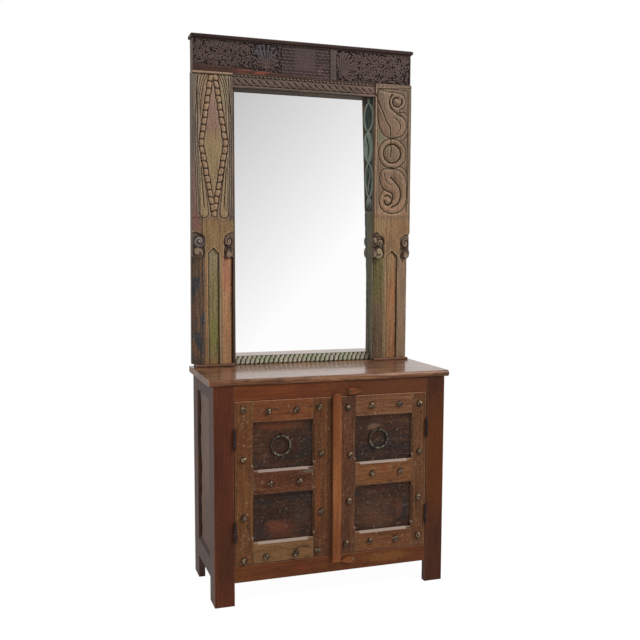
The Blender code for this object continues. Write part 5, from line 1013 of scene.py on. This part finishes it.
tint = tinted("#3C4642", ("#2C3432", smooth(0.0, 0.7, mottle) * 0.8),
              ("#93A59A", np.clip(cut_leaf, 0, 1) * 0.85),
              ("#6E8276", smooth(-0.2, 0.7, mottle) * cut_leaf * 0.6),
              ("#6C6A55", plain_foot * 0.9), ("#52605A", plain_foot * smooth(0.4, 0.1, splay) * 0.8),
              ("#766050", plain_foot * smooth(0.5, 0.8, splay) * smooth(1.38, 1.30, z) * 0.7),
              ("#7A7A6C", edge * 0.7), *grime_shade_and_shine(relief, "#1E2422"))
board_mesh("right_jamb_carving", x + lean_x * relief, y + lean_y * relief, z, JAMB_BACK, tint,
           green_paint, "right_jamb")

# Bottom strip: a thin moulding below the glass, leaning back, cut into slanted leaves like a rope and
# painted grey-green; darker between the leaves, with a painted highlight on their crests.
STRIP_PITCH = 0.0198                       # from leaf to leaf
STRIP_FACE, STRIP_BACK = 0.1874, 0.1997    # y of its face at the foot, and of its back
STRIP_FOOT, STRIP_TALL, STRIP_LEAN = 0.8304, 0.0328, 0.0048
x = np.linspace(-0.2863, 0.2900, 440)[None, :]
t = np.linspace(0, 1, 26)[:, None]
lay = (x - 0.45 * 0.033 * t - 0.0015 * np.sin(3 * np.pi * t)) / STRIP_PITCH + 0.06 * np.sin(x * 31)
leaf = lay - np.round(lay)
swell = np.sqrt(np.clip(1 - (np.abs(leaf) / 0.42) ** 2.4 - (np.abs(t - 0.5) / 0.52) ** 6, 0, 1))
groove = np.exp(-((leaf + 0.10) / 0.05) ** 2) * smooth(0.1, 0.3, t) * smooth(0.95, 0.8, t)
relief = 0.0048 * swell - 0.0048 - 0.0020 * groove
relief += 0.0004 * wander(x, t * 0.033, 0.010, 95)
patch = wander(x, t * 0.033, 0.12, 96)
tint = tinted("#A29C86", ("#84906A", smooth(-0.1, 0.5, patch) * 0.8),
              ("#8C7E6C", smooth(0.15, 0.28, x) * 0.8),
              ("#2A281E", smooth(-0.0018, -0.0040, relief) * 0.95),
              # a painted highlight on the leaves' crests
              ("#E4DECA", smooth(-0.0014, 0.0, relief) * 0.55))
board_mesh("bottom_strip_carving", x, STRIP_FACE + STRIP_LEAN * t - relief,
           STRIP_FOOT + STRIP_TALL * t, STRIP_BACK, tint, green_paint, "bottom_strip")

# Lintel: a moulding over the glass, cut like a rope: slanted leaves between a row of beads and a plain
# fillet. It is let in between the posts and has darkened with smoke.
lintel_paint = carved_wood("smoked_lintel", 'X', 7.3, pale="#8C766C")
LINTEL_FACE, LINTEL_BACK = 0.1560, 0.1995
LINTEL_FOOT, LINTEL_TALL = 1.9052, 0.0549
LEAF_PITCH, BEAD_PITCH = 0.0285, 0.0152    # along the lintel, from leaf to leaf and bead to bead
x = np.linspace(-0.2946, 0.2946, 420)[None, :]
rise = np.linspace(0, LINTEL_TALL, 46)[:, None]
up = (rise - 0.027) / 0.0150
lay = (x + 0.0235 * up - 0.0030 * np.sin(np.pi * up)) / LEAF_PITCH + 0.05 * np.sin(x * 23)
leaf = lay - np.round(lay)
swell = np.sqrt(np.clip(1 - (np.abs(leaf - 0.04 * up) / 0.45) ** 2 - (np.abs(up) / 1.05) ** 4, 0, 1))
nick = np.exp(-((leaf - 0.02) / 0.05) ** 2) * smooth(1.0, 0.7, np.abs(up))
bud = 1 - ((0.5 - np.abs(leaf) - 0.02) / 0.16) ** 2 - ((np.abs(up) - 0.62) / 0.30) ** 2
bud = np.sqrt(np.clip(bud, 0, 1))
bead = (x + 0.6 * rise) / BEAD_PITCH
bead = bead - np.round(bead)
beads = np.sqrt(np.clip(1 - (np.abs(bead) / 0.42) ** 2 - ((rise - 0.0475) / 0.0044) ** 2, 0, 1))
fillet = smooth(0.0105, 0.0095, rise) + smooth(0.0525, 0.0530, rise)
leaves = np.clip(np.maximum(swell - 0.40 * nick, 0.72 * bud), 0, 1)
relief = 0.0064 * leaves + 0.0042 * beads + 0.0060 * fillet - 0.0064
relief -= 0.0030 * smooth(0.0030, 0.0, rise)
relief += 0.0006 * wander(x, rise, 0.012, 97)
tint = tinted("#3C2E28", ("#604B43", np.maximum(swell, bud) * 0.9),
              ("#5E4A42", beads * 0.85), ("#5A4943", fillet * 0.9),
              # a dark band along the lintel's foot: painted shade
              ("#2C2220", smooth(0.0062, 0.0045, rise)),
              ("#7A5444", smooth(0.2, 0.8, wander(x, rise, 0.09, 98)) * 0.35),
              ("#86605A", smooth(0.20, 0.27, x) * 0.5), *grime_shade_and_shine(relief, "#1E1614", "#94806E"))
board_mesh("lintel_carving", x, LINTEL_FACE - relief, LINTEL_FOOT + rise, LINTEL_BACK, tint,
           lintel_paint, "lintel")

# Frieze: an old carved board in five fields: a dense vine, a fan of leaves, rows of small blocks, a
# plain bar and an open vine. It was sawn at a slope, so a plain band grows along the lower left edge.
frieze_paint = carved_wood("smoked_frieze", 'X', 9.9, contrast=0.35, pale="#6E5A56")
CREST = 0.0072                                   # height of the carving over its ground
FRIEZE_FACE = 0.1524                             # y of the carving's crests
FRIEZE_HALF, FRIEZE_FOOT, FRIEZE_HEAD = 0.448, 1.9603, 2.081
ROW_PITCH, BLOCK_PITCH = 0.0126, 0.0190          # of the small blocks, upwards and along
FAN_ROOTS = (((-0.1630, 1.9850), 1.0), ((-0.1630, 1.9990), 0.62))   # with each tier's share of reach
SMALL_FAN = (0.1620, 1.9760)
xs = np.linspace(-FRIEZE_HALF, FRIEZE_HALF, 717)
zs = np.linspace(FRIEZE_FOOT, FRIEZE_HEAD, 97)
x, z = np.meshgrid(xs, zs)
field = np.zeros(x.shape)


def lay_stroke(path, first, last, tall=1.0):
    """Raise the frieze's field to a stroke: round beads along a path, half widths first to last."""
    for (px, pz), half in zip(path, np.linspace(first, last, len(path))):
        columns = slice(*np.searchsorted(xs, (px - half, px + half)))
        rows = slice(*np.searchsorted(zs, (pz - half, pz + half)))
        far = ((xs[columns] - px) ** 2)[None, :] + ((zs[rows] - pz) ** 2)[:, None]
        dome = tall * CREST * np.sqrt(np.clip(1 - far / half ** 2, 0, 1))
        field[rows, columns] = np.maximum(field[rows, columns], dome)


def toward(angle):
    """The step of length 1 at an angle."""
    return np.array([math.cos(angle), math.sin(angle)])


def lay_scroll(centre, size, start, hand, half, chance):
    """A coiled stem with a round bud in its middle and small leaves round its outside."""
    lay_stroke(spiral(centre, size, size * 0.30, start, hand * 1.25, 56), half, half * 0.8)
    lay_stroke(spiral(centre, 0.0003, 0.0003, 0, 0.1, 2), half * 1.5, half * 1.5, 1.1)
    for number in range(7):
        angle = math.radians(start + 51 * number + chance.uniform(-10, 10))
        root = np.array(centre) + (size + half) * toward(angle)
        tip = root + size * 0.55 * toward(angle + hand * 1.1)
        middle = (root + tip) / 2 + size * 0.12 * toward(angle)
        lay_stroke(curve(root, middle, tip, steps=6), half * 0.5, half * 1.15, 0.92)


def lay_tendrils(count, wide, high, reach, bow, tall, chance):
    """Short bent strokes strewn over a field. Tall is their height, or the range it is drawn from."""
    for _ in range(count):
        start = np.array([chance.uniform(*wide), chance.uniform(*high)])
        heading = chance.uniform(0, 2 * np.pi)
        tip = start + reach * toward(heading)
        bend = (start + tip) / 2 + bow * np.array([-math.sin(heading), math.cos(heading)])
        height = chance.uniform(*tall) if isinstance(tall, tuple) else tall
        lay_stroke(curve(start, bend, tip, steps=5), 0.0020, 0.0038, height)


chance = np.random.default_rng(12)
for row, height in enumerate((2.0585, 2.0155)):
    for column in range(6):
        place = (-0.4275 + 0.0372 * column + 0.010 * (row % 2) - 0.004, height)
        hand = 1 if (row + column) % 2 else -1
        lay_scroll(place, 0.0132, 90 + 180 * (column % 2), hand, 0.0034, chance)
lay_tendrils(270, (-0.443, -0.226), (1.982, 2.078), 0.013, 0.004, (0.66, 0.90), chance)
for row, (root, spread) in enumerate(FAN_ROOTS):
    for lean in (172, 155, 138, 121, 104, 87, 70, 53, 36, 19):
        angle = math.radians(lean - 6)
        reach = spread * (0.088 if 40 < lean < 140 else 0.070)
        tip = np.array([root[0] + reach * 0.66 * math.cos(angle), root[1] + reach * math.sin(angle)])
        bend = (np.array(root) + tip) / 2 + np.array([0.010 * math.cos(angle), 0.004])
        lay_stroke(curve(root, bend, tip, steps=16), 0.0020, 0.0046, 1.0 - 0.12 * row)
        hook = tip + np.array([math.copysign(0.007, math.cos(angle)), -0.005])
        lay_stroke(curve(tip, (tip + hook) / 2 + np.array([0, 0.002]), hook, steps=5), 0.0046, 0.0030)
for _ in range(150):
    start = np.array([chance.uniform(-0.222, -0.104), chance.uniform(1.972, 2.077)])
    lay_stroke(curve(start, start + chance.uniform(-0.009, 0.009, 2), steps=5), 0.0020, 0.0036, 0.70)
row_at = (z - 2.0790) / ROW_PITCH + 0.10 * wander(x, z, 0.018, 106)
block_at = (x + 0.0070 * np.round(row_at)) / BLOCK_PITCH
off_row = np.abs(row_at - np.round(row_at))
joint = smooth(0.36, 0.46, np.abs(block_at - np.round(block_at)))
blocks = np.clip(1 - (off_row / 0.34) ** 3, 0, 1) ** 0.5 * (1 - 0.45 * joint)
string = np.exp(-((off_row - 0.5) / 0.10) ** 2)
worn = smooth(0.050, 0.034, np.abs(x + 0.006)) * smooth(0.050, 0.036, np.abs(z - 2.030)) * 0.75
worn = np.clip(worn + smooth(0.2, 0.8, wander(x, z, 0.030, 104)) * 0.6, 0, 1)
rows_zone = (x > -0.099) & (x < 0.0977)
rows = 0.66 * np.maximum(blocks, 0.8 * string) * (1 - worn) + 0.62 * worn
field = np.where(rows_zone, CREST * rows, field)
bar = smooth(0.0995, 0.1011, x) * smooth(0.1262, 0.1245, x)
field = np.maximum(field, CREST * bar)
for number in range(8):
    angle = math.radians(22 + 15 * number)
    tip = np.array(SMALL_FAN) + np.array([0.052, 0.092]) * toward(angle)
    bend = np.array(SMALL_FAN) + np.array([0.030, 0.052]) * toward(angle + 0.30)
    lay_stroke(curve(SMALL_FAN, bend, tip, steps=16), 0.0028, 0.0056)
for row, height in enumerate((2.0560, 2.0040)):
    for column in range(5 - row):
        place = (0.2200 + 0.0510 * column + 0.022 * row, height + 0.003 * math.sin(3 * column))
        hand = 1 if (row + column) % 2 else -1
        lay_scroll(place, 0.0165, 60 + 140 * column, hand, 0.0041, chance)
lay_tendrils(330, (0.130, 0.441), (1.965, 2.077), 0.015, 0.005, 0.78, chance)
slope = FRIEZE_FOOT + np.clip(0.027 * (0.115 - x) / 0.56, 0.0010, 0.030) + 0.0010 * np.sin(x * 70)
band = smooth(0.0008, -0.0008, z - slope)
frame_edge = np.maximum(smooth(-0.4455, -0.4465, x), smooth(0.4445, 0.4455, x))
frame_edge = np.maximum(frame_edge, smooth(2.0785, 2.0795, z))
field = np.minimum(field, CREST * (0.90 + 0.07 * wander(x, z, 0.02, 99)))
field = np.where(band > 0.5, CREST * (0.62 + 0.10 * wander(x / 8, z, 0.012, 100)), field)
field = np.maximum(field, frame_edge * CREST * 0.9)
relief = field - CREST + 0.0003 * wander(x, z, 0.006, 101)
crest = smooth(0.15, 0.80, field / CREST)
hue = wander(x, z, 0.05, 102)
tint = tinted("#261712", ("#523F39", crest * 0.95),
              ("#48444B", crest * (x > -0.222) * (x < -0.1) * smooth(2.0, 2.05, z) * 0.8),
              ("#4A3938", crest * rows_zone * 0.8),
              ("#7A5652", rows_zone * smooth(0.016, 0.006, np.hypot(x - 0.058, z - 1.990)) * 0.7),
              ("#4E403A", bar * 0.9), ("#58463A", crest * (x > 0.2) * smooth(0.1, 0.8, hue) * 0.7),
              ("#341A10", band * 0.9),
              ("#4E2C1F", band * smooth(-0.2, 0.5, wander(x / 6, z, 0.004, 107)) * 0.8),
              ("#7E3E2C", band * np.exp(-((x + 0.205) / 0.060) ** 2)
               * smooth(-0.5, 0.3, wander(x / 5, z, 0.012, 103))),
              *grime_shade_and_shine(relief, "#1A0F0C", "#786660", shine=0.30))
board_mesh("frieze_carving", x, FRIEZE_FACE - relief, z, POST_BACK, tint, frieze_paint,
           "frieze_board")

# Cap: a plain dark board with a rubbed front arris.
cap = old_wood("stained_cap_board", 'X', ("#1E1312", "#2E1F1C", "#42302A"), 24, worn=0.9,
               scuff="#6E4E40")
dress(cap, "cap_board")
